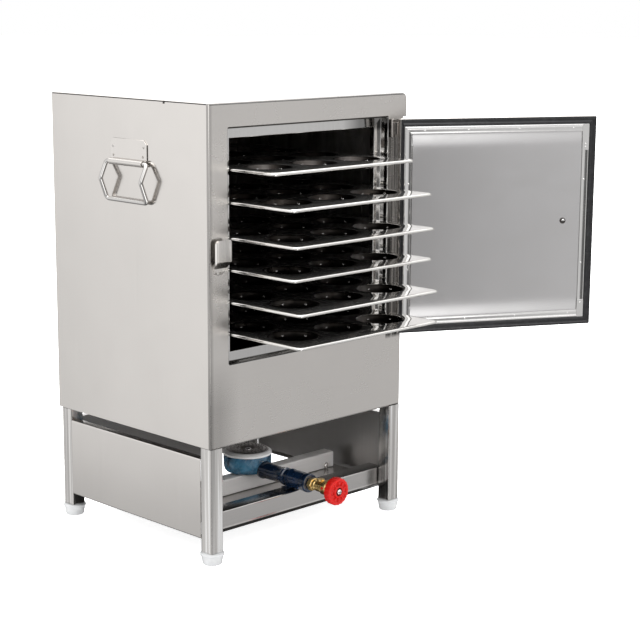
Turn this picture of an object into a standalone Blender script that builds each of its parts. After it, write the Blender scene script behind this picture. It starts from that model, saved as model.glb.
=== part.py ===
"""Cabinet steamer for idlis: insulated body on legs, six drawn trays, open door, burner bay.

Dimensions below are in millimetres in the cabinet's own frame: x 0 at the left
side, y 0 at the front face, z 0 at the floor. mm() turns them into metres and
shifts them so that the whole object's bounding box stands centred on the origin.
"""

import math

import bmesh
import bpy
from mathutils import Matrix, Vector

# ---------------------------------------------------------------- constants
WIDTH, DEPTH, HEIGHT = 430.0, 390.0, 716.5
BODY_Z = 187.8                      # underside of the insulated body
SHEET = 1.2                         # outer and inner sheet
GAP = 0.3                           # air left between neighbouring solids
ORIGIN = (343.873, 98.017)           # centre of the bounding box, cabinet frame

OPEN_X = (39.0, 391.5)              # doorway in the front frame
OPEN_Z = (317.0, 678.0)
REBATE = 16.0                       # depth of the step that takes the door
FLANGE = 16.0                       # seat for the gasket, all round

LEG = 25.0
LEG_WALL = 1.5
LEG_BOTTOM = 19.4
REAR_Y = 380.3                      # back of the rear legs
PANEL_Z = (39.7, 168.9)

TRAY_X = (56.5, 368.5)
TRAY_DEPTH = 320.0
TRAY_TOPS = (616.7, 566.1, 511.5, 461.8, 411.3, 361.4)
TRAY_FRONTS = (-82.0, -122.0, -129.0, -124.5, -138.5, -138.0)
TRAY_SHEET = 1.0
TRAY_LIP = 5.0
CAVITY_R, CAVITY_DEEP = 40.0, 16.5
CAVITY_PITCH = (97.0, 95.0)         # across and along the tray
CAVITY_FIRST = 75.0                 # front edge of a tray to the middle of its first row

PIVOT = (398.3, -4.0)               # door hinge axis, cabinet x and y
DOOR_OPEN = 151.0                   # degrees between shut and the rest pose
DOOR_X = (40.6, 390.0)
DOOR_Z = (318.6, 676.6)
DOOR_T = 13.0                       # front skin to back of the inner pan

LATCH_X, LATCH_Z = 98.0, 500.0      # lever pivot, door shut
LATCH_OPEN = 62.0                   # degrees the lever is swung up at rest
HINGES = (("top", 650.0, 670.0), ("bottom", 325.0, 345.0))

BACK_Y = 384.5                      # back of the chamber's liner
CHAMBER_X = (24.0, 406.0)

BURNER = (215.0, 149.0)
TUBE_Z = 90.5                       # axis of mixing tube, valve and knob

HOOD_X = 437.3                      # the top sheet and header stand past the right side
HOOD_Z = 677.2

STEEL = ("steel", (0.78, 0.78, 0.79), 0.22, 1.0)
BRIGHT = ("bright_steel", (0.85, 0.85, 0.86), 0.10, 1.0)
TRAYS = ("tray_metal", (0.86, 0.87, 0.88), 0.28, 1.0)
WOOL = ("mineral_wool", (0.72, 0.66, 0.50), 0.95, 0.0)
RUBBER = ("black_rubber", (0.02, 0.02, 0.022), 0.55, 0.0)
PLASTIC = ("white_plastic", (0.84, 0.85, 0.86), 0.35, 0.0)
RED = ("red_plastic", (0.62, 0.02, 0.03), 0.30, 0.0)
BRASS = ("brass", (0.80, 0.58, 0.28), 0.25, 1.0)
TEAL = ("teal_enamel", (0.03, 0.20, 0.30), 0.30, 0.0)
GREY = ("cast_grey", (0.55, 0.55, 0.55), 0.45, 0.6)
DARK = ("dark_steel", (0.20, 0.20, 0.21), 0.40, 1.0)
ALLOY = ("cast_alloy", (0.70, 0.70, 0.71), 0.30, 1.0)


def mm(x, y, z):
    return Vector(((x - ORIGIN[0]) / 1000, (y - ORIGIN[1]) / 1000, z / 1000))


def clear_scene():
    for obj in list(bpy.data.objects):
        bpy.data.objects.remove(obj, do_unlink=True)


def material(name, spec):
    _, colour, roughness, metallic = spec
    mat = bpy.data.materials.new(name + "_" + spec[0])
    mat.use_nodes = True
    shader = mat.node_tree.nodes["Principled BSDF"]
    shader.inputs["Base Color"].default_value = (*colour, 1.0)
    shader.inputs["Roughness"].default_value = roughness
    shader.inputs["Metallic"].default_value = metallic
    mat.diffuse_color = (*colour, 1.0)
    return mat


def finish(name, bm, spec=None, helper=False, smooth=False):
    """Turns a bmesh in cabinet millimetres into an object placed by its location."""
    bmesh.ops.recalc_face_normals(bm, faces=bm.faces[:])
    low = Vector([min(v.co[i] for v in bm.verts) for i in range(3)])
    high = Vector([max(v.co[i] for v in bm.verts) for i in range(3)])
    centre = (low + high) / 2
    for v in bm.verts:
        v.co = (v.co - centre) / 1000
    mesh = bpy.data.meshes.new(name)
    bm.to_mesh(mesh)
    bm.free()
    if smooth:
        mesh.shade_smooth()
        mesh.set_sharp_from_angle(angle=math.radians(40))
    obj = bpy.data.objects.new(name, mesh)
    obj.location = mm(*centre)
    bpy.context.scene.collection.objects.link(obj)
    if spec:
        mesh.materials.append(material(name, spec))
    if helper:
        obj.hide_render = True
        obj.display_type = "WIRE"
    return obj


# ---------------------------------------------------------------- shapes
def box_bm(x, y, z):
    bm = bmesh.new()
    bmesh.ops.create_cube(bm, size=1.0)
    for v in bm.verts:
        v.co = Vector([(a[0] + a[1]) / 2 + c * (a[1] - a[0]) for a, c in zip((x, y, z), v.co)])
    return bm


def box(name, x, y, z, spec=None, helper=False):
    return finish(name, box_bm(x, y, z), spec, helper)


AXES = {"x": (1, 2, 0), "y": (0, 2, 1), "z": (0, 1, 2)}


def prism(name, outline, axis, a, b, spec=None, helper=False, turn=None):
    """Extrudes a flat outline along an axis. For x the outline is (y, z), for y (x, z), for z (x, y)."""
    i, j, k = AXES[axis]
    bm = bmesh.new()
    rings = []
    for level in (a, b):
        ring = []
        for u, v in outline:
            co = [0.0, 0.0, 0.0]
            co[i], co[j], co[k] = u, v, level
            ring.append(bm.verts.new(turn @ Vector(co) if turn else co))
        rings.append(ring)
    n = len(outline)
    bm.faces.new(rings[0])
    bm.faces.new(rings[1])
    for s in range(n):
        bm.faces.new((rings[0][s], rings[0][(s + 1) % n], rings[1][(s + 1) % n], rings[1][s]))
    return finish(name, bm, spec, helper)


def rect_outline(x0, x1, z0, z1, r=0.0, steps=3):
    if not r:
        return [(x0, z0), (x1, z0), (x1, z1), (x0, z1)]
    out = []
    for cx, cz, start in ((x1 - r, z0 + r, -90), (x1 - r, z1 - r, 0), (x0 + r, z1 - r, 90), (x0 + r, z0 + r, 180)):
        for s in range(steps + 1):
            a = math.radians(start + 90 * s / steps)
            out.append((cx + r * math.cos(a), cz + r * math.sin(a)))
    return out


def arc(cx, cz, r, start, end, steps):
    """Points on a circle from one angle to another, both ends included."""
    angles = [math.radians(start + (end - start) * s / steps) for s in range(steps + 1)]
    return [(cx + r * math.cos(a), cz + r * math.sin(a)) for a in angles]


def lathe(name, profile, centre, axis, spec=None, steps=24, closed=False, helper=False):
    """Turns a profile of (radius, along) about an axis through centre. closed joins its ends as a ring."""
    frames = {"z": (Vector((1, 0, 0)), Vector((0, 1, 0)), Vector((0, 0, 1))),
              "y": (Vector((1, 0, 0)), Vector((0, 0, 1)), Vector((0, 1, 0))),
              "x": (Vector((0, 1, 0)), Vector((0, 0, 1)), Vector((1, 0, 0)))}
    u, v, w = frames[axis]
    c = Vector(centre)
    bm = bmesh.new()
    rings = []
    for r, t in profile:
        if r < 1e-6:
            rings.append([bm.verts.new(c + w * t)])
        else:
            rings.append([bm.verts.new(c + w * t + (u * math.cos(a) + v * math.sin(a)) * r)
                          for a in (2 * math.pi * s / steps for s in range(steps))])
    pairs = list(zip(rings, rings[1:]))
    if closed:
        pairs.append((rings[-1], rings[0]))
    for one, two in pairs:
        for s in range(steps):
            t = (s + 1) % steps
            corners = []
            for p in ((one, s), (one, t), (two, t), (two, s)):
                vert = p[0][p[1] % len(p[0])]
                if vert not in corners:
                    corners.append(vert)
            if len(corners) > 2:
                bm.faces.new(corners)
    if not closed:
        for ring in (rings[0], rings[-1]):
            if len(ring) > 2:
                bm.faces.new(ring)
    return finish(name, bm, spec, helper, smooth=True)


def sweep_bm(points, radius, steps=10, bm=None):
    """A round bar along a polyline, with mitred corners and flat ends."""
    bm = bm or bmesh.new()
    pts = [Vector(p) for p in points]
    rings = []
    side = None
    for i, p in enumerate(pts):
        before = (p - pts[i - 1]).normalized() if i else None
        after = (pts[i + 1] - p).normalized() if i + 1 < len(pts) else None
        along = (before + after).normalized() if before and after else (before or after)
        if side is None:
            side = along.orthogonal().normalized()
        side = (side - along * side.dot(along)).normalized()
        other = along.cross(side)
        stretch = 1 / max(0.5, along.dot(before or after))
        bend = (after - before) if before and after else Vector()
        ring = []
        for s in range(steps):
            a = 2 * math.pi * s / steps
            d = side * math.cos(a) + other * math.sin(a)
            if bend.length > 1e-6:
                n = bend.normalized()
                d = d + n * d.dot(n) * (stretch - 1)
            ring.append(bm.verts.new(p + d * radius))
        rings.append(ring)
    for one, two in zip(rings, rings[1:]):
        for s in range(steps):
            t = (s + 1) % steps
            bm.faces.new((one[s], one[t], two[t], two[s]))
    bm.faces.new(rings[0])
    bm.faces.new(rings[-1])
    return bm


def fillet(points, r, steps=3):
    """Rounds the inner corners of a 3-D polyline."""
    pts = [Vector(p) for p in points]
    out = [pts[0]]
    for a, b, c in zip(pts, pts[1:], pts[2:]):
        u, v = (a - b).normalized(), (c - b).normalized()
        half = math.acos(max(-1, min(1, u.dot(v)))) / 2
        cut = min(r / math.tan(half), (a - b).length * 0.45, (c - b).length * 0.45)
        p, q = b + u * cut, b + v * cut
        for s in range(steps + 1):
            t = s / steps
            out.append(p * (1 - t) ** 2 + b * 2 * t * (1 - t) + q * t ** 2)
    out.append(pts[-1])
    return out


def boolean(obj, other, operation):
    other.hide_render = True
    other.display_type = "WIRE"
    mod = obj.modifiers.new(operation.lower() + "_" + other.name, "BOOLEAN")
    mod.operation = operation
    mod.solver = "EXACT"
    mod.object = other
    return obj


def pivot(name, point, parent=None, parent_point=None):
    """An empty on a joint's axis."""
    empty = bpy.data.objects.new(name, None)
    empty.empty_display_size = 0.02
    bpy.context.scene.collection.objects.link(empty)
    empty.location = mm(*point)
    if parent:
        empty.parent = parent
        empty.location = mm(*point) - mm(*parent_point)
    return empty


def hang(empty, point, pieces):
    """Parents pieces, with the helpers that shape them, to the empty that stands at this point."""
    done = set()
    for piece in pieces:
        for obj in [piece] + [mod.object for mod in piece.modifiers if mod.type == "BOOLEAN"]:
            if obj.name not in done:
                done.add(obj.name)
                obj.parent = empty
                obj.location = obj.location - mm(*point)


COUNT = [0]


def helper_name(kind):
    COUNT[0] += 1
    return f"{kind}_{COUNT[0]:03d}"


def cut_box(obj, x, y, z):
    return boolean(obj, box(helper_name("cut"), x, y, z, helper=True), "DIFFERENCE")


def add_box(obj, x, y, z):
    return boolean(obj, box(helper_name("join"), x, y, z, helper=True), "UNION")


def cut_round(obj, r, centre, axis, a, b, steps=24):
    return boolean(obj, lathe(helper_name("cut"), [(r, a), (r, b)], centre, axis, steps=steps, helper=True), "DIFFERENCE")


def add_round(obj, r, centre, axis, a, b, steps=24):
    return boolean(obj, lathe(helper_name("join"), [(r, a), (r, b)], centre, axis, steps=steps, helper=True), "UNION")


# ---------------------------------------------------------------- body
def build_body():
    s = SHEET
    corner = arc(HOOD_X - 9.0, HEIGHT - 9.0, 9.0, 0, 90, 4)
    outline = [(3.3, BODY_Z), (WIDTH - 3.3, BODY_Z), (WIDTH - 3.3, HOOD_Z), (HOOD_X, HOOD_Z)] + corner + [(3.3, HEIGHT)]
    front = prism("front_frame", outline, "y", 0, s, STEEL)
    cut_box(front, OPEN_X, (-5, 5), OPEN_Z)

    # The step round the doorway: a collar running back and a seat for the gasket.
    x0, x1, z0, z1 = OPEN_X[0], OPEN_X[1], OPEN_Z[0], OPEN_Z[1]
    rebate = box("door_rebate", (x0 - s, x1 + s), (s + GAP, REBATE + s), (z0 - s, z1 + s), STEEL)
    cut_box(rebate, (x0, x1), (-5, REBATE), (z0, z1))
    cut_box(rebate, (x0 + FLANGE, x1 - FLANGE), (-5, 40), (z0 + FLANGE, z1 - FLANGE))

    for side, name in ((0, "left_panel"), (1, "right_panel")):
        outline = [(0, DEPTH - s - GAP), (0, 3), (0.9, 0.9), (3, 0), (3, s), (1.75, 1.75), (s, 3), (s, DEPTH - s - GAP)]
        if side:
            outline = [(WIDTH - x, y) for x, y in outline]
        panel = prism(name, outline, "z", BODY_Z, HEIGHT - s - GAP - 1.2 * side, STEEL)
        if side:
            cut_box(panel, (WIDTH - 10, WIDTH + 10), (-5, s + GAP), (HOOD_Z - GAP, HEIGHT + 10))
    # The top sheet stops behind the front frame's edge, and turns down clear of the right side.
    outline = [(0, HEIGHT - s), (0, HEIGHT)] + arc(HOOD_X - 9.0, HEIGHT - 9.0, 9.0, 90, 0, 4) + [(HOOD_X, HOOD_Z), (HOOD_X - s, HOOD_Z)]
    outline += arc(HOOD_X - 9.0, HEIGHT - 9.0, 9.0 - s, 0, 90, 4)
    prism("top_panel", outline, "y", s + GAP, DEPTH, STEEL)
    box("back_panel", (0, WIDTH), (DEPTH - s, DEPTH), (BODY_Z, HEIGHT - s - GAP), STEEL)
    ring = box("base_ring", (s + GAP, WIDTH - s - GAP), (s + GAP, DEPTH - s - GAP), (BODY_Z, BODY_Z + s), STEEL)
    cut_box(ring, (62, 368), (62, 330), (BODY_Z - 5, BODY_Z + 5))
    cut_box(ring, (-5, 27.5), (-5, 27.5), (BODY_Z - 5, BODY_Z + 5))
    cut_box(ring, (WIDTH - 27.5, WIDTH + 5), (-5, 27.5), (BODY_Z - 5, BODY_Z + 5))

    # Water tank: the bottom of the chamber, over the burner.
    tank = box("water_tank", CHAMBER_X, (24, BACK_Y), (BODY_Z + 2, OPEN_Z[0] - 2), STEEL)
    cut_box(tank, (24 + s, 406 - s), (24 + s, BACK_Y - s), (BODY_Z + 2 + s, 400))

    lz0, lz1 = OPEN_Z[0] - 2 + GAP, 694.0
    box("inner_left", (24, 24 + s), (REBATE + s + GAP, BACK_Y), (lz0, lz1), STEEL)
    box("inner_right", (406 - s, 406), (REBATE + s + GAP, BACK_Y), (lz0, lz1), STEEL)
    box("inner_back", (24 + s + GAP, 406 - s - GAP), (BACK_Y - s, BACK_Y), (lz0, lz1), STEEL)
    box("inner_ceiling", CHAMBER_X, (REBATE + s + GAP, BACK_Y), (lz1 + GAP, lz1 + GAP + s), STEEL)

    # Mineral wool between the two skins: one blanket round the sides and back, one slab on top.
    wool = box("wall_insulation", (s + GAP, WIDTH - s - GAP), (40, DEPTH - s - GAP), (BODY_Z + s + GAP, lz1), WOOL)
    cut_box(wool, (24 - GAP, 406 + GAP), (20, BACK_Y + GAP), (100, 800))
    box("top_insulation", (s + GAP, WIDTH - s - GAP), (40, DEPTH - s - GAP), (lz1 + 2 * GAP + s, HEIGHT - s - GAP), WOOL)


def rack(name, side):
    """Six folded runners on two uprights, spot welded to the chamber wall."""
    wall = 24 + SHEET + GAP
    flip = (lambda x: WIDTH - x) if side else (lambda x: x)

    def span(a, b):
        return tuple(sorted((flip(a), flip(b))))

    obj = box(name, span(wall, wall + 1.5), (70, 90), (332, 640), BRIGHT)
    add_box(obj, span(wall, wall + 1.5), (300, 320), (332, 640))
    inner = TRAY_X[0] + 13.5 if not side else WIDTH - (TRAY_X[1] - 13.5)
    for top in TRAY_TOPS:
        z = top - TRAY_LIP - GAP
        # A runner is an angle: a leg against the uprights and a shelf under the tray's lip.
        add_box(obj, span(wall, wall + 2.5), (30, 364), (z - 12, z))
        add_box(obj, span(wall + 0.5, inner), (30, 364), (z - 1.2, z))
    return obj


def cell_ring(cx, cy, hx, hy, n):
    """Points round a rectangle of these half sides, n per side, starting at the angle of -45 degrees."""
    out = []
    corners = [(1, -1), (1, 1), (-1, 1), (-1, -1)]
    for i in range(4):
        a, b = corners[i], corners[(i + 1) % 4]
        for s in range(n):
            t = s / n
            out.append((cx + hx * (a[0] * (1 - t) + b[0] * t), cy + hy * (a[1] * (1 - t) + b[1] * t)))
    return out


def tray(name, index):
    """A pressed sheet with a turned-down lip and nine dished cavities."""
    n = 3                                    # points on each side of a cell
    x0, x1 = TRAY_X
    y0 = TRAY_FRONTS[index]
    y1 = y0 + TRAY_DEPTH
    top = TRAY_TOPS[index]
    cx, cy = (x0 + x1) / 2, (y0 + y1) / 2
    hx, hy = CAVITY_PITCH[0] / 2, CAVITY_PITCH[1] / 2
    block = y0 + CAVITY_FIRST + CAVITY_PITCH[1]          # middle of the second row
    bm = bmesh.new()
    known = {}

    def vert(x, y, z):
        key = (round(x, 3), round(y, 3), round(z, 3))
        if key not in known:
            known[key] = bm.verts.new((x, y, z))
        return known[key]

    def loop(points, z):
        return [vert(x, y, z) for x, y in points]

    def bridge(one, two, flip):
        for s in range(len(one)):
            t = (s + 1) % len(one)
            quad = [one[s], one[t], two[t], two[s]]
            bm.faces.new(quad[::-1] if flip else quad)

    def circle(px, py, r):
        m = 4 * n
        return [(px + r * math.cos(math.radians(-45 + 360 * s / m)), py + r * math.sin(math.radians(-45 + 360 * s / m)))
                for s in range(m)]

    inner = []
    for i in range(4):
        a, b = [((1, -1), (1, 1)), ((1, 1), (-1, 1)), ((-1, 1), (-1, -1)), ((-1, -1), (1, -1))][i]
        for s in range(3 * n):
            t = s / (3 * n)
            inner.append((cx + 3 * hx * (a[0] * (1 - t) + b[0] * t), block + 3 * hy * (a[1] * (1 - t) + b[1] * t)))

    def outline(inset, r):
        """The tray's outline with rounded corners, one point for each of inner's."""
        wx, wy = (x1 - x0) / 2 - inset, (y1 - y0) / 2 - inset
        out = []
        m = 3 * n
        for i in range(4):
            (ax, ay), (bx, by) = [((1, -1), (1, 1)), ((1, 1), (-1, 1)), ((-1, 1), (-1, -1)), ((-1, -1), (1, -1))][i]
            for s in range(m):
                px = wx * (ax + (bx - ax) * s / m)
                py = wy * (ay + (by - ay) * s / m)
                if s == 0:
                    k = r * (1 - math.sqrt(0.5))
                    px, py = ax * (wx - k), ay * (wy - k)
                elif s == 1:
                    px, py = (px, ay * (wy - r)) if ax == bx else (ax * (wx - r), py)
                elif s == m - 1:
                    px, py = (px, by * (wy - r)) if ax == bx else (bx * (wx - r), py)
                out.append((cx + px, cy + py))
        return out

    for z, flip, r_rim, thick in ((top, False, CAVITY_R, 0.0), (top - TRAY_SHEET, True, CAVITY_R + 0.6, TRAY_SHEET)):
        for i in (-1, 0, 1):
            for j in (-1, 0, 1):
                px, py = cx + i * CAVITY_PITCH[0], block + j * CAVITY_PITCH[1]
                square = loop(cell_ring(px, py, hx, hy, n), z)
                rim = loop(circle(px, py, r_rim), z)
                bridge(square, rim, flip)
                wall = loop(circle(px, py, r_rim - 7.0), z - CAVITY_DEEP * 0.72)
                bridge(rim, wall, flip)
                floor = loop(circle(px, py, r_rim - 22.0), z - CAVITY_DEEP)
                bridge(wall, floor, flip)
                bm.faces.new(floor[::-1] if flip else floor)
        inside = loop(inner, z)
        edge = loop(outline(1.0 + thick, 7.0 - thick), z)
        bridge(edge, inside, flip)
        if not flip:
            fold = loop(outline(0.0, 8.0), top - 1.0)
            foot = loop(outline(0.0, 8.0), top - TRAY_LIP)
            bridge(fold, edge, False)
            bridge(foot, fold, False)
        else:
            under = loop(outline(TRAY_SHEET, 7.0), top - TRAY_LIP)
            bridge(under, foot, False)
            under_top = loop(outline(TRAY_SHEET, 7.0), top - TRAY_SHEET - 1.0)
            bridge(under_top, under, False)
            bridge(edge, under_top, False)
    return finish(name, bm, TRAYS, smooth=True)


# ---------------------------------------------------------------- door
def build_door():
    """Models the door shut, then turns every piece of it about the hinge to the rest pose."""
    made = []
    x0, x1, z0, z1 = DOOR_X[0], DOOR_X[1], DOOR_Z[0], DOOR_Z[1]
    s = 1.0
    skin = box("door_skin", (x0, x1), (0, DOOR_T - s - GAP), (z0, z1), BRIGHT)
    cut_box(skin, (x0 + s, x1 - s), (s, 40), (z0 + s, z1 - s))
    cut_round(skin, 4.6, (LATCH_X, 0, LATCH_Z), "y", -5, 5, 16)
    made.append(skin)
    liner = box("door_liner", (x0, x1), (DOOR_T - s, DOOR_T), (z0, z1), BRIGHT)
    cut_round(liner, 4.6, (LATCH_X, 0, LATCH_Z), "y", 5, 25, 16)
    made.append(liner)
    fill = box("door_insulation", (x0 + s + GAP, x1 - s - GAP), (s + GAP, DOOR_T - s - GAP), (z0 + s + GAP, z1 - s - GAP), WOOL)
    cut_round(fill, 6.0, (LATCH_X, 0, LATCH_Z), "y", -5, 25, 12)
    made.append(fill)
    g = 13.0
    gasket = box("door_gasket", (x0 + 0.5, x1 - 0.5), (DOOR_T + GAP, DOOR_T + 2.2), (z0 + 0.5, z1 - 0.5), RUBBER)
    cut_box(gasket, (x0 + g, x1 - g), (0, 40), (z0 + g, z1 - g))
    made.append(gasket)
    r = 12.0
    strip = box("gasket_retainer", (x0 + g + GAP, x1 - g - GAP), (DOOR_T + GAP, DOOR_T + 1.8), (z0 + g + GAP, z1 - g - GAP), STEEL)
    cut_box(strip, (x0 + g + r, x1 - g - r), (0, 40), (z0 + g + r, z1 - g - r))
    made.append(strip)

    # Hinge leaves: a strap on the door's face with a rolled eye round the pin.
    px, py = PIVOT
    for name, za, zb in HINGES:
        leaf = box("hinge_leaf_" + name, (px - 34, px), (-1.8, -GAP), (za, zb), STEEL)
        add_round(leaf, 4.0, (px, py, 0), "z", za, zb, 16)
        cut_box(leaf, (px - 3.9, px + 6), (-0.1, 6), (za - 2, zb + 2))
        cut_round(leaf, 2.55, (px, py, 0), "z", za - 3, zb + 3, 16)
        made.append(leaf)

    # Latch: a bolt through the door, and a lever with a blade on one side and a grip on the other.
    lx, lz = LATCH_X, LATCH_Z
    tail = DOOR_T + GAP
    made.append(lathe("latch_pivot", [(0, -25.0), (6.5, -25.0), (7.0, -23.2), (7.0, -20.3), (4.0, -20.3), (4.0, tail),
                                      (6.5, tail), (6.5, tail + 1.6), (4.5, tail + 1.9), (0, tail + 1.9)],
                      (lx, 0, lz), "y", STEEL, steps=16))
    lever = lathe("latch_lever", [(4.3, -20.0), (13.0, -20.0), (15.0, -17.5), (15.0, -2.4), (4.3, -2.4)],
                  (lx, 0, lz), "y", ALLOY, steps=20, closed=True)
    blade = [(lx - 12, lz + 8), (lx - 40, lz + 7), (lx - 82, lz + 5), (lx - 86, lz), (lx - 82, lz - 5), (lx - 40, lz - 7), (lx - 12, lz - 8)]
    boolean(lever, prism(helper_name("join"), blade, "y", -9.0, -5.0, helper=True), "UNION")
    grip = [(lx + 10, lz - 8), (lx + 40, lz - 7), (lx + 118, lz - 9), (lx + 124, lz), (lx + 118, lz + 9), (lx + 40, lz + 7), (lx + 10, lz + 8)]
    boolean(lever, prism(helper_name("join"), grip, "y", -20.0, -10.0, helper=True), "UNION")

    door_axis = pivot("door_axis", (px, py, 0))
    latch_axis = pivot("latch_axis", (lx, 0, lz), door_axis, (px, py, 0))
    hang(door_axis, (px, py, 0), made)
    hang(latch_axis, (lx, 0, lz), [lever])
    # The lever is drawn latched and the door shut; both are turned to the rest pose.
    latch_axis.rotation_euler = (0, math.radians(LATCH_OPEN), 0)
    door_axis.rotation_euler = (0, 0, math.radians(DOOR_OPEN))


def build_hinge_brackets():
    """A plate on the right stile with an ear above and below each leaf, carrying the pin."""
    px, py = PIVOT
    for name, za, zb in HINGES:
        obj = box("hinge_bracket_" + name, (px + 4.8, px + 27), (-1.8, -GAP), (za - 4, zb + 4), STEEL)
        add_box(obj, (px - 3.6, px + 8), (py - 3.6, -GAP), (zb + GAP, zb + 4))
        add_box(obj, (px - 3.6, px + 8), (py - 3.6, -GAP), (za - 4, za - GAP))
        add_round(obj, 2.45, (px, py, 0), "z", za - 5.5, zb + 5.5, 16)


def build_keeper():
    """A strap welded at its foot to the left stile, standing off it so that the lever's blade slips behind."""
    outline = [(-GAP, 464.5), (-GAP, 474.0), (-9.6, 479.0), (-9.6, 513.0), (-11.2, 513.0), (-11.2, 478.0), (-2.0, 464.5)]
    prism("latch_keeper", outline, "x", 6.0, 35.5, STEEL)


# ---------------------------------------------------------------- handles
def build_handle(side):
    name = ("left", "right")[side]
    flip = (lambda x: WIDTH - x) if side else (lambda x: x)
    ya, yb = 143.0, 233.0
    g = GAP
    plate = prism(name + "_handle_plate", [(flip(-g), 653.0), (flip(-1.7), 653.0), (flip(-1.7), 619.0), (flip(-g), 619.0)], "y", ya, yb, STEEL)
    # The lower edge is rolled into a barrel that holds the bail.
    boolean(plate, lathe(helper_name("join"), [(5.4, ya + 4), (5.4, yb - 4)], (flip(-g - 5.4), 0, 616.5), "y", steps=16, helper=True), "UNION")
    boolean(plate, lathe(helper_name("cut"), [(3.9, ya - 5), (3.9, yb + 5)], (flip(-g - 5.4), 0, 616.5), "y", steps=16, helper=True), "DIFFERENCE")
    cx, cz = flip(-g - 5.4), 616.5
    out = -1 if not side else 1
    y0, y1 = ya - 5.0, yb + 5.0
    frame = [(cx, (ya + yb) / 2 + 0.5, cz), (cx, y1, cz), (cx + out * 12.5, y1, cz - 27), (cx, y1, cz - 60),
             (cx, y0, cz - 60), (cx + out * 12.5, y0, cz - 27), (cx, y0, cz), (cx, (ya + yb) / 2 - 0.5, cz)]
    bail = finish(name + "_handle_bail", sweep_bm(fillet(frame, 5.0, 2), 3.6, 10), BRIGHT, smooth=True)
    hang(pivot(name + "_bail_axis", (cx, (ya + yb) / 2, cz)), (cx, (ya + yb) / 2, cz), [bail])


# ---------------------------------------------------------------- stand
def build_stand():
    t = LEG_WALL
    spots = {"front_left": (0, 0), "front_right": (WIDTH - LEG, 0), "rear_left": (0, REAR_Y - LEG), "rear_right": (WIDTH - LEG, REAR_Y - LEG)}
    for name, (x, y) in spots.items():
        leg = box("leg_" + name, (x, x + LEG), (y, y + LEG), (LEG_BOTTOM, BODY_Z - GAP), STEEL)
        cut_box(leg, (x + t, x + LEG - t), (y + t, y + LEG - t), (LEG_BOTTOM - 5, BODY_Z - 6))
        cx, cy = x + LEG / 2, y + LEG / 2
        foot = lathe("foot_" + name, [(0, 0), (14.0, 0), (15.5, 1.5), (17.5, 14.0), (19.0, 16.0), (19.0, 18.0), (17.5, LEG_BOTTOM - GAP), (0, LEG_BOTTOM - GAP)],
                     (cx, cy, 0), "z", PLASTIC, steps=24)
        # A ribbed plug goes up inside the tube.
        add_box(foot, (x + t + 0.4, x + LEG - t - 0.4), (y + t + 0.4, y + LEG - t - 0.4), (LEG_BOTTOM - 4, LEG_BOTTOM + 16))
    y0, y1 = LEG + GAP, REAR_Y - LEG - GAP
    z0, z1 = PANEL_Z
    for name, x in (("left", 0.0), ("right", WIDTH)):
        d = 1 if name == "left" else -1
        outline = [(x, z0), (x, z1), (x + d * 14, z1), (x + d * 14, z1 - 1.2), (x + d * 1.2, z1 - 1.2), (x + d * 1.2, z0 + 1.2), (x + d * 14, z0 + 1.2), (x + d * 14, z0)]
        prism("lower_panel_" + name, outline, "y", y0, y1, STEEL)
    outline = [(REAR_Y, z0), (REAR_Y, z1), (REAR_Y - 14, z1), (REAR_Y - 14, z1 - 1.2), (REAR_Y - 1.2, z1 - 1.2), (REAR_Y - 1.2, z0 + 1.2), (REAR_Y - 14, z0 + 1.2), (REAR_Y - 14, z0)]
    prism("lower_panel_back", outline, "x", LEG + GAP, WIDTH - LEG - GAP, STEEL)

    # Folded front cross member behind the legs: hem, face, top, back, and a shelf running back under the bar.
    outline = [(25.3, 38.0), (25.3, 45.0), (26.1, 46.2), (26.1, 74.0), (58.0, 74.0), (58.0, 53.7), (160.0, 53.7), (160.0, 52.5),
               (56.8, 52.5), (56.8, 72.8), (27.3, 72.8), (27.3, 45.8), (26.5, 44.6), (26.5, 39.2), (40.0, 39.2), (40.0, 38.0)]
    prism("burner_shelf", outline, "x", 14.4, WIDTH - 14.4, STEEL)


def build_burner():
    bx, by = BURNER
    # Square tube across the bay, carrying the burner.
    bar = box("burner_bar", (27.6, 402.4), (131.0, 156.0), (54.2, 82.0), STEEL)
    cut_box(bar, (20, 410), (132.5, 154.5), (55.7, 80.5))
    body = lathe("burner_body", [(0, 82.6), (33.0, 82.6), (36.0, 86.0), (38.0, 94.0), (38.0, 112.5), (33.5, 112.5), (33.5, 108.0), (18.0, 106.5), (0, 106.5)], (bx, by, 0), "z", TEAL, steps=28)
    # The mixing tube runs forward from the head, over the bar.
    tube = lathe(helper_name("join"), [(12.6, 43.0), (13.4, by - 30)], (bx, 0, TUBE_Z), "y", steps=16, helper=True)
    boolean(body, tube, "UNION")
    boolean(body, lathe(helper_name("cut"), [(9.0, 30.0), (9.0, by - 46)], (bx, 0, TUBE_Z), "y", steps=16, helper=True), "DIFFERENCE")
    # A foot under the tube's mouth stands on the cross member.
    boolean(body, prism(helper_name("join"), [(bx - 9, 74.4), (bx + 9, 74.4), (bx + 9, 84.0), (bx - 9, 84.0)], "y", 46.5, 51.0, helper=True), "UNION")
    cap = lathe("burner_cap", [(0, 107.0), (10, 107.0), (10, 112.8), (38.8, 112.8), (38.8, 116.5), (34.0, 121.0), (14.0, 121.0), (10.0, 118.5), (0, 118.5)], (bx, by, 0), "z", GREY, steps=28)
    return bar, body, cap


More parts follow.
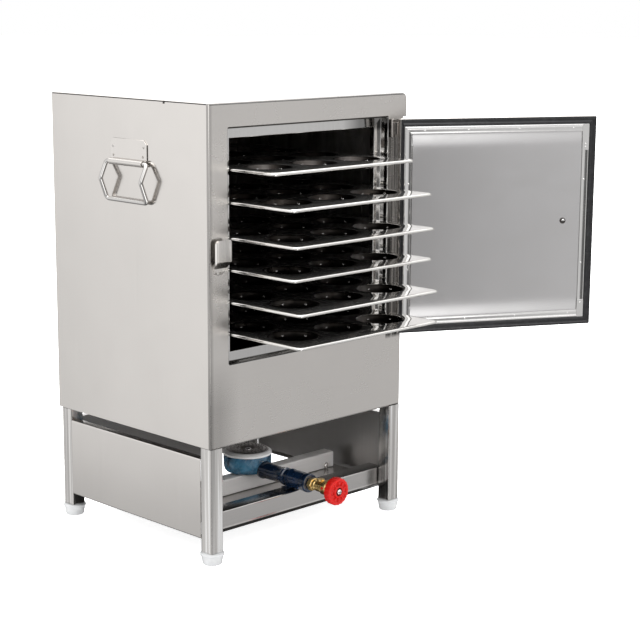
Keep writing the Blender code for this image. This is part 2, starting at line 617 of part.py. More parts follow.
def build_gas_train():
    bx, _ = BURNER
    z = TUBE_Z
    # Air bell: flares forward from the tube's mouth round the nozzle.
    lathe("air_bell", [(13.2, 46.0), (14.6, 46.0), (15.8, 43.5), (15.8, 2.0), (15.0, -0.5), (9.0, -0.5), (9.0, 1.5), (13.2, 1.5)], (bx, 0, z), "y", TEAL, steps=24, closed=True)
    # Valve: a nozzle into the bell, a hexagon, and the plug housing with a hose spigot to the right.
    valve = lathe("gas_valve", [(0, 26.0), (2.5, 26.0), (4.0, 18.0), (6.5, 14.0), (6.5, -1.2), (11.0, -1.2), (11.0, -10.0), (9.0, -12.0), (9.0, -30.0), (11.5, -32.0), (11.5, -44.0), (7.5, -46.0), (7.5, -50.0), (3.0, -50.0), (3.0, -64.0), (0, -64.0)], (bx, 0, z), "y", BRASS, steps=20)
    nipple = lathe(helper_name("join"), [(0, 5.0), (5.0, 5.0), (5.0, 20.0), (5.8, 22.0), (4.6, 25.0), (5.8, 27.0), (4.6, 30.0), (5.8, 32.0), (4.4, 38.0), (0, 38.0)], (bx, -20.0, z), "x", steps=16, helper=True)
    boolean(valve, nipple, "UNION")
    boolean(valve, lathe(helper_name("cut"), [(2.2, 12.0), (2.2, 45.0)], (bx, -20.0, z), "x", steps=12, helper=True), "DIFFERENCE")
    knob = lathe("gas_knob", [(3.2, -50.6), (12.0, -50.6), (20.0, -52.0), (22.5, -55.0), (22.5, -64.0), (20.5, -67.0), (8.5, -67.0), (8.5, -64.5), (3.2, -64.5)], (bx, 0, z), "y", RED, steps=28, closed=True)
    # A raised grip bar across the face.
    ridge = prism(helper_name("join"), [(bx - 20.0, z - 3.4), (bx - 8.0, z - 4.2), (bx - 8.0, z + 4.2), (bx - 20.0, z + 3.4)], "y", -70.0, -66.0, helper=True)
    ridge2 = prism(helper_name("join"), [(bx + 8.0, z - 4.2), (bx + 20.0, z - 3.4), (bx + 20.0, z + 3.4), (bx + 8.0, z + 4.2)], "y", -70.0, -66.0, helper=True)
    boolean(knob, ridge, "UNION")
    boolean(knob, ridge2, "UNION")
    screw = lathe("knob_screw", [(0, -69.5), (4.0, -69.5), (5.5, -67.5), (5.5, -65.0), (0, -65.0)], (bx, 0, z), "y", BRIGHT, steps=16)
    hang(pivot("knob_axis", (bx, -60, z)), (bx, -60, z), [knob, screw])


def main():
    clear_scene()
    build_body()
    rack("left_rack", 0)
    rack("right_rack", 1)
    for i in range(6):
        tray(f"tray_{i + 1}", i)
    build_door()
    build_hinge_brackets()
    build_keeper()
    build_handle(0)
    build_handle(1)
    build_stand()
    build_burner()
    build_gas_train()


main()
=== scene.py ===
"""Cabinet steamer for idlis: finely modelled sheet metal, trays, door, burner and studio.

Lengths below are in millimetres in the cabinet's own frame: x 0 at the left side,
y 0 at the front face, z 0 at the floor. P() turns them into the row frame's metres.
"""

import math

import bmesh
import bpy
from mathutils import Matrix, Vector


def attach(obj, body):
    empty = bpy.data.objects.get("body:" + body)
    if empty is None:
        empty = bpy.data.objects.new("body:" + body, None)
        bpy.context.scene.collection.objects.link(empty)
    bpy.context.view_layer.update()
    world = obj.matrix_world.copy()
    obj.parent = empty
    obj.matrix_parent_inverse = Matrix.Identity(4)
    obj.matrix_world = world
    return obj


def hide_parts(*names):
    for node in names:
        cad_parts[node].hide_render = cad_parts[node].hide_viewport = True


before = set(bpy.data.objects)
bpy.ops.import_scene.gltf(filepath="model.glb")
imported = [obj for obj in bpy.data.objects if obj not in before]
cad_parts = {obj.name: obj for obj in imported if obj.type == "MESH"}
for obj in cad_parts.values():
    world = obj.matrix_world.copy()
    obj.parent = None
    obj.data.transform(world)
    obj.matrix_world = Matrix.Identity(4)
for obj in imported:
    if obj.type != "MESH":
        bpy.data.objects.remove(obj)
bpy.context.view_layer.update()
scene = bpy.context.scene

OX, OY = 343.873, 98.017
WIDTH, DEPTH, HEIGHT = 430.0, 390.0, 716.5
BODY_Z = 187.8
OPEN_X, OPEN_Z = (39.0, 391.5), (317.0, 678.0)
HOOD_X, HOOD_Z = 437.3, 677.2
TRAY_X, TRAY_DEPTH = (56.5, 368.5), 320.0
TRAY_TOPS = (616.7, 566.1, 511.5, 461.8, 411.3, 361.4)
TRAY_FRONTS = (-82.0, -122.0, -129.0, -124.5, -138.5, -138.0)
PITCH, FIRST = (97.0, 95.0), 75.0
HINGE = (398.3, -4.0)
DOOR_X, DOOR_Z, DOOR_T = (40.6, 390.0), (318.6, 676.6), 13.0
LATCH = (98.0, 500.0)
LEG, LEG_BOTTOM, REAR_Y = 25.0, 19.4, 380.3
PANEL_Z = (39.7, 168.9)
BURNER = (215.0, 149.0)
TUBE_Z = 90.5


def P(x, y, z):
    return Vector(((x - OX) / 1000, (y - OY) / 1000, z / 1000))


def turned(point, axis, degrees):
    point = Vector(point)
    return Matrix.Translation(point) @ Matrix.Rotation(math.radians(degrees), 4, axis) @ Matrix.Translation(-point)


DOOR = turned((HINGE[0], HINGE[1], 0), "Z", 151.0)
LEVER = DOOR @ turned((LATCH[0], 0, LATCH[1]), "Y", 62.0)


# ------------------------------------------------------------------ camera
def camera():
    yaw, pitch, roll = (math.radians(a) for a in (45.0999, -11.2246, 0.3355))
    ahead = Vector((math.sin(yaw) * math.cos(pitch), math.cos(yaw) * math.cos(pitch), math.sin(pitch)))
    right = ahead.cross(Vector((0, 0, 1))).normalized()
    up = right.cross(ahead)
    right, up = right * math.cos(roll) + up * math.sin(roll), up * math.cos(roll) - right * math.sin(roll)
    data = bpy.data.cameras.new("camera")
    data.sensor_width = 36.0
    data.lens = 93.243
    data.clip_end = 60.0
    cam = bpy.data.objects.new("camera", data)
    scene.collection.objects.link(cam)
    matrix = Matrix((right, up, -ahead)).transposed().to_4x4()
    matrix.translation = P(-1622.13, -1851.41, 880.68)
    cam.matrix_world = matrix
    scene.camera = cam


camera()


# ------------------------------------------------------------------ node helpers
class Tree:
    """Short names for building a material's nodes."""

    def __init__(self, name):
        self.mat = bpy.data.materials.new(name)
        self.mat.use_nodes = True
        self.tree = self.mat.node_tree
        self.shader = self.tree.nodes["Principled BSDF"]
        self.coord = self.tree.nodes.new("ShaderNodeTexCoord").outputs["Object"]

    def link(self, a, b):
        self.tree.links.new(a, b)

    def put(self, socket, value):
        if isinstance(value, (int, float)):
            socket.default_value = value
        elif isinstance(value, tuple):
            socket.default_value = (*value, 1.0) if len(value) == 3 and len(socket.default_value) == 4 else value
        else:
            self.link(value, socket)

    def scaled(self, scale, rotation=(0, 0, 0), vector=None):
        node = self.tree.nodes.new("ShaderNodeMapping")
        self.put(node.inputs["Vector"], vector or self.coord)
        node.inputs["Scale"].default_value = scale if isinstance(scale, tuple) else (scale,) * 3
        node.inputs["Rotation"].default_value = rotation
        return node.outputs["Vector"]

    def noise(self, scale, detail=3.0, rough=0.55, distort=0.0, rotation=(0, 0, 0)):
        node = self.tree.nodes.new("ShaderNodeTexNoise")
        self.put(node.inputs["Vector"], self.scaled(scale, rotation))
        node.inputs["Scale"].default_value = 1.0
        node.inputs["Detail"].default_value = detail
        node.inputs["Roughness"].default_value = rough
        node.inputs["Distortion"].default_value = distort
        return node.outputs["Fac"]

    def cells(self, scale, feature="F1"):
        node = self.tree.nodes.new("ShaderNodeTexVoronoi")
        node.feature = feature
        self.put(node.inputs["Vector"], self.scaled(scale))
        node.inputs["Scale"].default_value = 1.0
        return node.outputs["Distance"]

    def axis(self, which):
        node = self.tree.nodes.new("ShaderNodeSeparateXYZ")
        self.link(self.coord, node.inputs[0])
        return node.outputs[which]

    def fit(self, value, low, high, to_low=0.0, to_high=1.0, smooth=False):
        node = self.tree.nodes.new("ShaderNodeMapRange")
        if smooth:
            node.interpolation_type = "SMOOTHSTEP"
        self.put(node.inputs[0], value)
        for socket, number in zip(node.inputs[1:5], (low, high, to_low, to_high)):
            socket.default_value = number
        return node.outputs[0]

    def profile(self, value, stops):
        """A value that changes in straight steps along a coordinate."""
        low, high = stops[0][0], stops[-1][0]
        node = self.tree.nodes.new("ShaderNodeValToRGB")
        self.put(node.inputs[0], self.fit(value, low, high))
        ramp = node.color_ramp.elements
        ramp[0].color = (stops[0][1],) * 3 + (1.0,)
        ramp[1].color = (stops[-1][1],) * 3 + (1.0,)
        for place_, level in stops[1:-1]:
            ramp.new((place_ - low) / (high - low)).color = (level, level, level, 1.0)
        return node.outputs[0]

    def math(self, kind, a, b=0.0):
        node = self.tree.nodes.new("ShaderNodeMath")
        node.operation = kind
        self.put(node.inputs[0], a)
        self.put(node.inputs[1], b)
        return node.outputs[0]

    def mix(self, factor, a, b, kind="MIX"):
        node = self.tree.nodes.new("ShaderNodeMix")
        node.data_type = "RGBA"
        node.blend_type = kind
        node.clamp_factor = True
        self.put(node.inputs[0], factor)
        self.put(node.inputs[6], a)
        self.put(node.inputs[7], b)
        return node.outputs[2]

    def bump(self, height, distance, strength=1.0, normal=None):
        node = self.tree.nodes.new("ShaderNodeBump")
        node.inputs["Strength"].default_value = strength
        node.inputs["Distance"].default_value = distance
        self.put(node.inputs["Height"], height)
        if normal is not None:
            self.put(node.inputs["Normal"], normal)
        return node.outputs["Normal"]

    def set(self, **values):
        for key, value in values.items():
            self.put(self.shader.inputs[key.replace("_", " ")], value)
        return self.mat


GRAIN = {"x": (5.0, 420.0, 420.0), "y": (420.0, 5.0, 420.0), "z": (420.0, 420.0, 5.0)}


def steel(name, colour, rough, grain="z", tone=0.06, cloud=6.0, wave=0.0016, scratch=0.05, dull=0.10, streak=0.0, wear_and_painted_shade=None, grit=1.0):
    """Rolled stainless sheet: fine grain along one axis, faint clouds of handling and slight waviness."""
    t = Tree(name)
    lines = t.noise(GRAIN[grain], 2.0, 0.5)
    clouds = t.noise(cloud, 3.0, 0.5, 0.6)
    smudge = t.noise(16.0, 4.0, 0.55, 0.8)
    dark = tuple(c * (1 - tone * 2.2) for c in colour)
    c = t.mix(t.fit(clouds, 0.30, 0.72), dark, colour)
    c = t.mix(t.fit(lines, 0.25, 0.75, 0.0, 0.5), c, tuple(min(1.0, k * (1 + tone)) for k in colour))
    # Painted reflection: lighter and darker stripes along the grain.
    if streak:
        painted_reflection_bands = t.noise({"x": (2.0, 150.0, 150.0), "z": (150.0, 150.0, 2.0)}[grain], 2.0, 0.6)
        c = t.mix(t.fit(painted_reflection_bands, 0.38, 0.66, 0.0, streak), c, tuple(k * 0.45 for k in colour))
        c = t.mix(t.fit(painted_reflection_bands, 0.44, 0.36, 0.0, streak), c, tuple(min(1.0, k * 1.4) for k in colour))
    # When given, the mask darkens the colour towards black as painted shade.
    if wear_and_painted_shade:
        c = t.mix(wear_and_painted_shade(t), (0.0, 0.0, 0.0), c)
    r = t.math("ADD", t.fit(smudge, 0.3, 0.7, rough - dull * 0.4, rough + dull), t.fit(lines, 0.2, 0.8, -scratch, scratch))
    n = t.bump(t.noise(cloud * 0.8, 1.0, 0.4), wave)
    n = t.bump(lines, 0.0000022 * grit, 1.0, n)
    return t.set(Base_Color=c, Roughness=r, Metallic=1.0, Normal=n)


def mirror_sheet(name, colour, rough, tone=0.05, wave=0.0010, stain=(0.55, 0.50, 0.44), spots=0.35):
    """Bright-rolled sheet: soft smears, water marks and faint waviness."""
    t = Tree(name)
    smear = t.noise((7.0, 12.0, 20.0), 3.0, 0.5, 1.0)
    marks = t.noise(45.0, 4.0, 0.6, 0.8)
    grain = t.noise((260.0, 260.0, 12.0), 2.0)
    c = t.mix(t.fit(smear, 0.35, 0.75, 0.0, spots), colour, tuple(a * b for a, b in zip(colour, stain)))
    c = t.mix(t.fit(grain, 0.3, 0.7, 0.0, tone * 4), c, tuple(k * 0.92 for k in colour))
    r = t.math("ADD", t.fit(smear, 0.3, 0.75, rough, rough + 0.04), t.fit(marks, 0.5, 0.85, 0.0, 0.05))
    n = t.bump(t.noise(6.0, 1.5, 0.4), wave)
    return t.set(Base_Color=c, Roughness=r, Metallic=1.0, Normal=n)


def sooted(name, colour, rough, wave=0.0012):
    """Chamber sheet browned and dulled by steam."""
    t = Tree(name)
    drips = t.noise((30.0, 30.0, 5.0), 5.0, 0.65, 0.6)
    film = t.noise(14.0, 5.0, 0.6, 0.4)
    c = t.mix(t.fit(drips, 0.35, 0.7), colour, tuple(k * s for k, s in zip(colour, (0.42, 0.36, 0.32))))
    r = t.fit(film, 0.3, 0.7, rough - 0.06, rough + 0.16)
    n = t.bump(t.noise(9.0, 2.0), wave)
    n = t.bump(t.noise(160.0, 3.0), 0.00003, 1.0, n)
    return t.set(Base_Color=c, Roughness=r, Metallic=1.0, Normal=n)


def rubber(name):
    t = Tree(name)
    dust = t.noise(90.0, 5.0, 0.7)
    streak = t.noise((12.0, 12.0, 200.0), 3.0)
    c = t.mix(t.fit(dust, 0.50, 0.90), (0.008, 0.008, 0.009), (0.030, 0.030, 0.032))
    r = t.fit(streak, 0.3, 0.7, 0.26, 0.40)
    n = t.bump(t.noise(1400.0, 2.0), 0.00003)
    return t.set(Base_Color=c, Roughness=r, Normal=n, Specular_IOR_Level=0.35)


def plastic(name, colour, rough=0.32, mottle=0.06):
    t = Tree(name)
    cloud = t.noise(60.0, 4.0)
    c = t.mix(t.fit(cloud, 0.35, 0.75), colour, tuple(k * (1 - mottle * 2) for k in colour))
    r = t.fit(t.noise(220.0, 3.0), 0.3, 0.7, rough - 0.05, rough + 0.10)
    n = t.bump(t.noise(500.0, 3.0), 0.00003)
    return t.set(Base_Color=c, Roughness=r, Normal=n, Coat_Weight=0.15, Coat_Roughness=0.2)


def enamel(name, colour, deep, rough=0.22, lump=0.00035):
    """Paint over a sand-cast surface."""
    t = Tree(name)
    cast = t.noise(260.0, 4.0, 0.6)
    wear_and_painted_shade = t.noise(110.0, 6.0, 0.75, 0.6)
    c = t.mix(t.fit(t.noise(40.0, 3.0), 0.35, 0.7), deep, colour)
    c = t.mix(t.fit(wear_and_painted_shade, 0.76, 0.88), c, (0.05, 0.08, 0.11))
    r = t.fit(wear_and_painted_shade, 0.35, 0.75, rough, rough + 0.22)
    n = t.bump(cast, lump, 0.7)
    return t.set(Base_Color=c, Roughness=r, Normal=n, Coat_Weight=0.5, Coat_Roughness=0.12)


def turned_metal(name, colour, rough, stain):
    """Turned or cast bright metal with tool marks and tarnish."""
    t = Tree(name)
    rings = t.noise((1300.0, 1300.0, 1300.0), 2.0)
    tarnish = t.noise(120.0, 5.0, 0.65, 0.5)
    c = t.mix(t.fit(tarnish, 0.42, 0.74), colour, stain)
    r = t.fit(tarnish, 0.3, 0.75, rough, rough + 0.22)
    n = t.bump(t.noise(420.0, 3.0), 0.00010)
    n = t.bump(rings, 0.00001, 1.0, n)
    return t.set(Base_Color=c, Roughness=r, Metallic=1.0, Normal=n)


def wool(name):
    t = Tree(name)
    fibre = t.noise((60.0, 600.0, 600.0), 5.0, 0.7, 1.5)
    lump = t.noise(45.0, 5.0, 0.6)
    c = t.mix(t.fit(fibre, 0.3, 0.7), (0.42, 0.34, 0.18), (0.80, 0.72, 0.50))
    n = t.bump(lump, 0.004)
    n = t.bump(fibre, 0.0006, 1.0, n)
    return t.set(Base_Color=c, Roughness=0.95, Normal=n)


def weld_metal(name):
    t = Tree(name)
    ripple = t.noise(700.0, 3.0, 0.6, 0.5)
    heat = t.noise(160.0, 4.0)
    c = t.mix(t.fit(heat, 0.35, 0.7), (0.62, 0.60, 0.58), (0.30, 0.27, 0.24))
    r = t.fit(ripple, 0.3, 0.7, 0.28, 0.5)
    return t.set(Base_Color=c, Roughness=r, Metallic=1.0, Normal=t.bump(ripple, 0.0003))


def across(t, stops):
    """Value along the cabinet's width, stops in millimetres."""
    return t.profile(t.axis(0), [((x - OX) / 1000, v) for x, v in stops])


def upward(t, stops):
    return t.profile(t.axis(2), [(z / 1000, v) for z, v in stops])


def painted_front_shade(t):
    """Painted shade on the front: dark stripes of painted reflection down the hinge stile, a darker left fold and a
    darker low corner.
    """
    painted_streaks = t.fit(t.noise((170.0, 170.0, 3.0), 3.0, 0.65), 0.38, 0.62, 0.04, 0.60)
    here = t.math("MULTIPLY", across(t, ((391.0, 0.0), (392.5, 1.0))), upward(t, ((306.0, 0.0), (312.0, 1.0), (668.0, 1.0), (674.0, 0.0))))
    stile = t.math("SUBTRACT", 1.0, t.math("MULTIPLY", here, t.math("SUBTRACT", 1.0, painted_streaks)))
    fold = across(t, ((1.0, 0.60), (8.0, 1.0)))
    corner = t.math("MULTIPLY", upward(t, ((250.0, 1.0), (330.0, 0.0))), across(t, ((20.0, 0.30), (60.0, 0.0))))
    return t.math("MULTIPLY", stile, t.math("MULTIPLY", fold, t.math("SUBTRACT", 1.0, corner)))


def painted_doorway_shade(t):
    """Painted shade on the doorway's step: darker along the sill and at the top towards the hinge."""
    far = t.math("MULTIPLY", across(t, ((300.0, 0.0), (340.0, 0.60))), upward(t, ((655.0, 0.0), (661.0, 1.0))))
    return t.math("MULTIPLY", t.math("SUBTRACT", 1.0, far), upward(t, ((330.0, 0.72), (338.0, 1.0))))


BODY = steel("body_steel", (0.655, 0.628, 0.602), 0.13, "z", tone=0.02, scratch=0.02, dull=0.05)
# The front's colour is multiplied by a mask of painted shade and painted reflection stripes.
FRONT = steel("front_steel", (0.615, 0.590, 0.566), 0.24, "x", tone=0.018, scratch=0.012, dull=0.06, wear_and_painted_shade=painted_front_shade, grit=0.3)
# The legs carry painted reflection stripes.
LEGS = steel("leg_steel", (0.76, 0.74, 0.72), 0.17, "z", tone=0.03, wave=0.0008, scratch=0.03, streak=0.75)
BAY = steel("bay_steel", (0.47, 0.455, 0.445), 0.20, "x", tone=0.04, wave=0.0010, scratch=0.02, dull=0.06)
SIDE_APRON = steel("side_apron_steel", (0.575, 0.552, 0.530), 0.14, "z", tone=0.02, scratch=0.02, dull=0.05)
APRON = steel("apron_steel", (0.56, 0.545, 0.535), 0.36, "z", tone=0.04, wave=0.0012, scratch=0.03, dull=0.06)
# The step's colour is multiplied by a mask of painted shade.
STEP = steel("doorway_steel", (0.66, 0.65, 0.64), 0.08, "z", tone=0.04, wave=0.0012, scratch=0.02, dull=0.05, wear_and_painted_shade=painted_doorway_shade)
BRIGHT = steel("bright_steel", (0.74, 0.73, 0.72), 0.12, "z", tone=0.03, wave=0.0004, scratch=0.02, dull=0.05)
DOORSHEET = mirror_sheet("door_inner_steel", (0.63, 0.62, 0.62), 0.16, tone=0.02, wave=0.0006, spots=0.06)
TRAYMETAL = mirror_sheet("tray_steel", (0.74, 0.73, 0.71), 0.05, wave=0.0006)
TRAYMETAL.node_tree.nodes["Principled BSDF"].inputs["Metallic"].default_value = 0.955
# The dishes' near-black colour is painted shade in the hollows, with steam stains over it.
DISH_PAINTED_SHADE = sooted("tray_dish_painted_shade", (0.060, 0.055, 0.052), 0.28, wave=0.0004)
LINER = sooted("chamber_steel", (0.27, 0.26, 0.25), 0.44)
LINER.node_tree.nodes["Principled BSDF"].inputs["Metallic"].default_value = 0.80
TANK = sooted("tank_steel", (0.14, 0.13, 0.12), 0.34)
BLACK = rubber("gasket_rubber")
WHITE = plastic("foot_plastic", (0.44, 0.445, 0.45))
RED = plastic("knob_plastic", (0.42, 0.005, 0.003), 0.34)
RED.node_tree.nodes["Principled BSDF"].inputs["Specular IOR Level"].default_value = 0.22
RED.node_tree.nodes["Principled BSDF"].inputs["Coat Weight"].default_value = 0.0
TEAL = enamel("burner_enamel", (0.085, 0.270, 0.430), (0.008, 0.036, 0.070), 0.18)
NAVY = enamel("tube_enamel", (0.0045, 0.020, 0.058), (0.002, 0.008, 0.022), 0.14, 0.00015)
BRASS = turned_metal("valve_brass", (0.86, 0.62, 0.26), 0.20, (0.55, 0.34, 0.12))
# Near-black painted shade: the fold under the header, the joint along the lid and the latch button's collar and lower
# half.
PAINTED_SHADE_STEEL = steel("painted_shade_steel", (0.075, 0.070, 0.066), 0.42, "x", tone=0.10, wave=0.0002)
WIRE = steel("bail_steel", (0.60, 0.585, 0.57), 0.10, "z", tone=0.05, wave=0.0004, scratch=0.02, dull=0.04)
# The hinge parts carry painted reflection stripes.
HINGE_STEEL = steel("hinge_steel", (0.36, 0.335, 0.315), 0.16, "z", tone=0.10, wave=0.0006, scratch=0.04, streak=0.8)
# The rim's near-white colour is partly bright metal and partly a painted highlight.
RIM = steel("cap_rim_metal_and_highlight", (0.92, 0.91, 0.90), 0.42, "x", tone=0.05, wave=0.0003)
RIM.node_tree.nodes["Principled BSDF"].inputs["Metallic"].default_value = 0.25
# The keeper carries faint painted reflection stripes.
KEEPER = steel("keeper_steel", (0.70, 0.675, 0.65), 0.20, "z", tone=0.05, wave=0.0012, streak=0.35)
BAR = steel("bar_steel", (0.95, 0.925, 0.905), 0.52, "x", tone=0.05, wave=0.0006, scratch=0.04)
BAR.node_tree.nodes["Principled BSDF"].inputs["Metallic"].default_value = 0.25
# Dark steel for the front sheet's rounded top and right edges, as painted shade.
SHADE_EDGE = steel("painted_shade_edge_steel", (0.15, 0.145, 0.14), 0.38, "x", tone=0.08, wave=0.0003)
CAPMETAL = turned_metal("cap_alloy", (0.56, 0.53, 0.52), 0.34, (0.34, 0.29, 0.28))
ALLOY = turned_metal("lever_alloy", (0.70, 0.70, 0.69), 0.20, (0.50, 0.50, 0.50))
WELD = weld_metal("weld_bead")
WOOL = wool("mineral_wool")
# Near-black painted shade standing in for holes and slots that are not cut.
HOLE_SHADE = sooted("painted_hole_shade", (0.03, 0.03, 0.03), 0.5)


# ------------------------------------------------------------------ mesh helpers
def arc(cx, cz, r, start, end, steps):
    out = []
    for s in range(steps + 1):
        a = math.radians(start + (end - start) * s / steps)
        out.append((cx + r * math.cos(a), cz + r * math.sin(a)))
    return out


def rr(x0, x1, z0, z1, r, n=4):
    """Rounded rectangle, anticlockwise, n + 1 points a corner."""
    r = max(r, 0.02)
    out = []
    for cx, cz, start in ((x1 - r, z0 + r, -90), (x1 - r, z1 - r, 0), (x0 + r, z1 - r, 90), (x0 + r, z0 + r, 180)):
        out += arc(cx, cz, r, start, start + 90, n)
    return out


AXES = {"x": (1, 2, 0), "y": (0, 2, 1), "z": (0, 1, 2)}


def place(points, axis, level):
    i, j, k = AXES[axis]
    out = []
    for u, v in points:
        co = [0.0, 0.0, 0.0]
        co[i], co[j], co[k] = u, v, level
        out.append(tuple(co))
    return out


def skin(bm, loops, closed=False, cap_first=False, cap_last=False):
    """Joins loops of equal length with quads."""
    rings = [[bm.verts.new(p) for p in loop] for loop in loops]
    pairs = list(zip(rings, rings[1:]))
    if closed:
        pairs.append((rings[-1], rings[0]))
    n = len(rings[0])
    for one, two in pairs:
        for s in range(n):
            t = (s + 1) % n
            bm.faces.new((one[s], one[t], two[t], two[s]))
    if cap_first:
        bm.faces.new(rings[0])
    if cap_last:
        bm.faces.new(rings[-1])
    return rings


def prism(bm, outline, axis, a, b):
    skin(bm, [place(outline, axis, a), place(outline, axis, b)], cap_first=True, cap_last=True)
    return bm


def block(bm, x, y, z):
    return prism(bm, [(x[0], y[0]), (x[1], y[0]), (x[1], y[1]), (x[0], y[1])], "z", z[0], z[1])


def fillet(points, r, steps=3):
    pts = [Vector(p) for p in points]
    out = [pts[0]]
    for i, (a, b, c) in enumerate(zip(pts, pts[1:], pts[2:])):
        u, v = (a - b).normalized(), (c - b).normalized()
        dot = max(-1, min(1, u.dot(v)))
        if dot < -0.9999:
            out.append(b)
            continue
        half = math.acos(dot) / 2
        radius = r[i] if isinstance(r, (list, tuple)) else r
        cut = min(radius / math.tan(half), (a - b).length * 0.48, (c - b).length * 0.48)
        p, q = b + u * cut, b + v * cut
        for s in range(steps + 1):
            t = s / steps
            out.append(p * (1 - t) ** 2 + b * 2 * t * (1 - t) + q * t ** 2)
    out.append(pts[-1])
    return out


def folded(path, thickness, r, steps=4):
    """Outline of a sheet folded along a flat path, which is its middle line."""
    pts = fillet(path, r, steps)
    left, right = [], []
    for i, p in enumerate(pts):
        before = (p - pts[i - 1]).normalized() if i else None
        after = (pts[i + 1] - p).normalized() if i + 1 < len(pts) else None
        d = ((before or after) + (after or before)).normalized()
        n = Vector((-d.y, d.x))
        m = 1 / max(0.4, d.dot(before or after))
        left.append(tuple(p + n * thickness / 2 * m))
        right.append(tuple(p - n * thickness / 2 * m))
    return left + right[::-1]


def lathe(bm, profile, centre, axis, steps=32, closed=False, squash=None):
    frames = {"z": (Vector((1, 0, 0)), Vector((0, 1, 0)), Vector((0, 0, 1))),
              "y": (Vector((1, 0, 0)), Vector((0, 0, 1)), Vector((0, 1, 0))),
              "x": (Vector((0, 1, 0)), Vector((0, 0, 1)), Vector((1, 0, 0)))}
    u, v, w = frames[axis] if isinstance(axis, str) else axis
    c = Vector(centre)
    rings = []
    for r, t in profile:
        if r < 1e-6:
            rings.append([bm.verts.new(c + w * t)])
        else:
            ring = []
            for s in range(steps):
                a = 2 * math.pi * s / steps
                k = squash(a) if squash else 1.0
                ring.append(bm.verts.new(c + w * t + (u * math.cos(a) + v * math.sin(a)) * r * k))
            rings.append(ring)
    pairs = list(zip(rings, rings[1:]))
    if closed:
        pairs.append((rings[-1], rings[0]))
    for one, two in pairs:
        for s in range(steps):
            t = (s + 1) % steps
            corners = []
            for ring, k in ((one, s), (one, t), (two, t), (two, s)):
                vert = ring[k % len(ring)]
                if vert not in corners:
                    corners.append(vert)
            if len(corners) > 2:
                bm.faces.new(corners)
    if not closed:
        for ring in (rings[0], rings[-1]):
            if len(ring) > 2:
                bm.faces.new(ring)
    return bm


def rod(bm, points, radius, steps=14, ends=True):
    """A round bar along a polyline."""
    pts = [Vector(p) for p in points]
    rings, side = [], None
    for i, p in enumerate(pts):
        before = (p - pts[i - 1]).normalized() if i else None
        after = (pts[i + 1] - p).normalized() if i + 1 < len(pts) else None
        along = (before + after).normalized() if before and after else (before or after)
        if side is None:
            side = along.orthogonal().normalized()
        side = (side - along * side.dot(along)).normalized()
        other = along.cross(side)
        rings.append([tuple(p + (side * math.cos(2 * math.pi * s / steps) + other * math.sin(2 * math.pi * s / steps)) * radius)
                      for s in range(steps)])
    skin(bm, rings, cap_first=ends, cap_last=ends)
    return bm


def dome(bm, centre, axis, r, h, steps=16):
    """A low button, such as a rivet's head or a spot weld."""
    profile = [(r, 0.0), (r * 0.98, h * 0.35), (r * 0.82, h * 0.72), (r * 0.5, h * 0.93), (0, h)]
    return lathe(bm, profile, centre, axis, steps)


NEG = {"x": (Vector((0, 1, 0)), Vector((0, 0, 1)), Vector((-1, 0, 0))),
       "y": (Vector((1, 0, 0)), Vector((0, 0, 1)), Vector((0, -1, 0))),
       "z": (Vector((1, 0, 0)), Vector((0, 1, 0)), Vector((0, 0, -1)))}


def make(name, bm, mat, body="cabinet", turn=None, bevel=0.0, segs=2, limit=38.0, nodes=(), mats=(), weld=0.0):
    """Turns a bmesh in cabinet millimetres into a piece that rides on a body."""
    if weld:
        bmesh.ops.remove_doubles(bm, verts=bm.verts[:], dist=weld)
    bmesh.ops.recalc_face_normals(bm, faces=bm.faces[:])
    for v in bm.verts:
        v.co = P(*(turn @ v.co if turn else v.co))
    mesh = bpy.data.meshes.new(name)
    bm.to_mesh(mesh)
    bm.free()
    mesh.shade_smooth()
    obj = bpy.data.objects.new(name, mesh)
    scene.collection.objects.link(obj)
    for m in (mat, *mats):
        mesh.materials.append(m)
    if bevel:
        mod = obj.modifiers.new("edge", "BEVEL")
        mod.width = bevel / 1000
        mod.segments = segs
        mod.limit_method = "ANGLE"
        mod.angle_limit = math.radians(limit)
        mod.harden_normals = True
    else:
        mesh.set_sharp_from_angle(angle=math.radians(limit))
    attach(obj, body)
    if nodes:
        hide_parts(*nodes)
    return obj


def fill_between(bm, outer, inner):
    """Flat faces between an outer ring of vertices and a hole's ring."""
    edges = []
    for ring in (outer, inner):
        for s in range(len(ring)):
            edge = bm.edges.get((ring[s], ring[(s + 1) % len(ring)]))
            edges.append(edge or bm.edges.new((ring[s], ring[(s + 1) % len(ring)])))
    bmesh.ops.triangle_fill(bm, use_beauty=True, use_dissolve=False, edges=edges)


def inset(points, d):
    """An anticlockwise outline moved inwards by d."""
    out = []
    n = len(points)
    for i in range(n):
        a, b, c = (Vector(points[(i + k) % n]) for k in (-1, 0, 1))
        u, v = (b - a).normalized(), (c - b).normalized()
        n0, n1 = Vector((-u.y, u.x)), Vector((-v.y, v.x))
        m = (n0 + n1).normalized()
        out.append(tuple(b + m * d / max(0.35, m.dot(n0))))
    return out


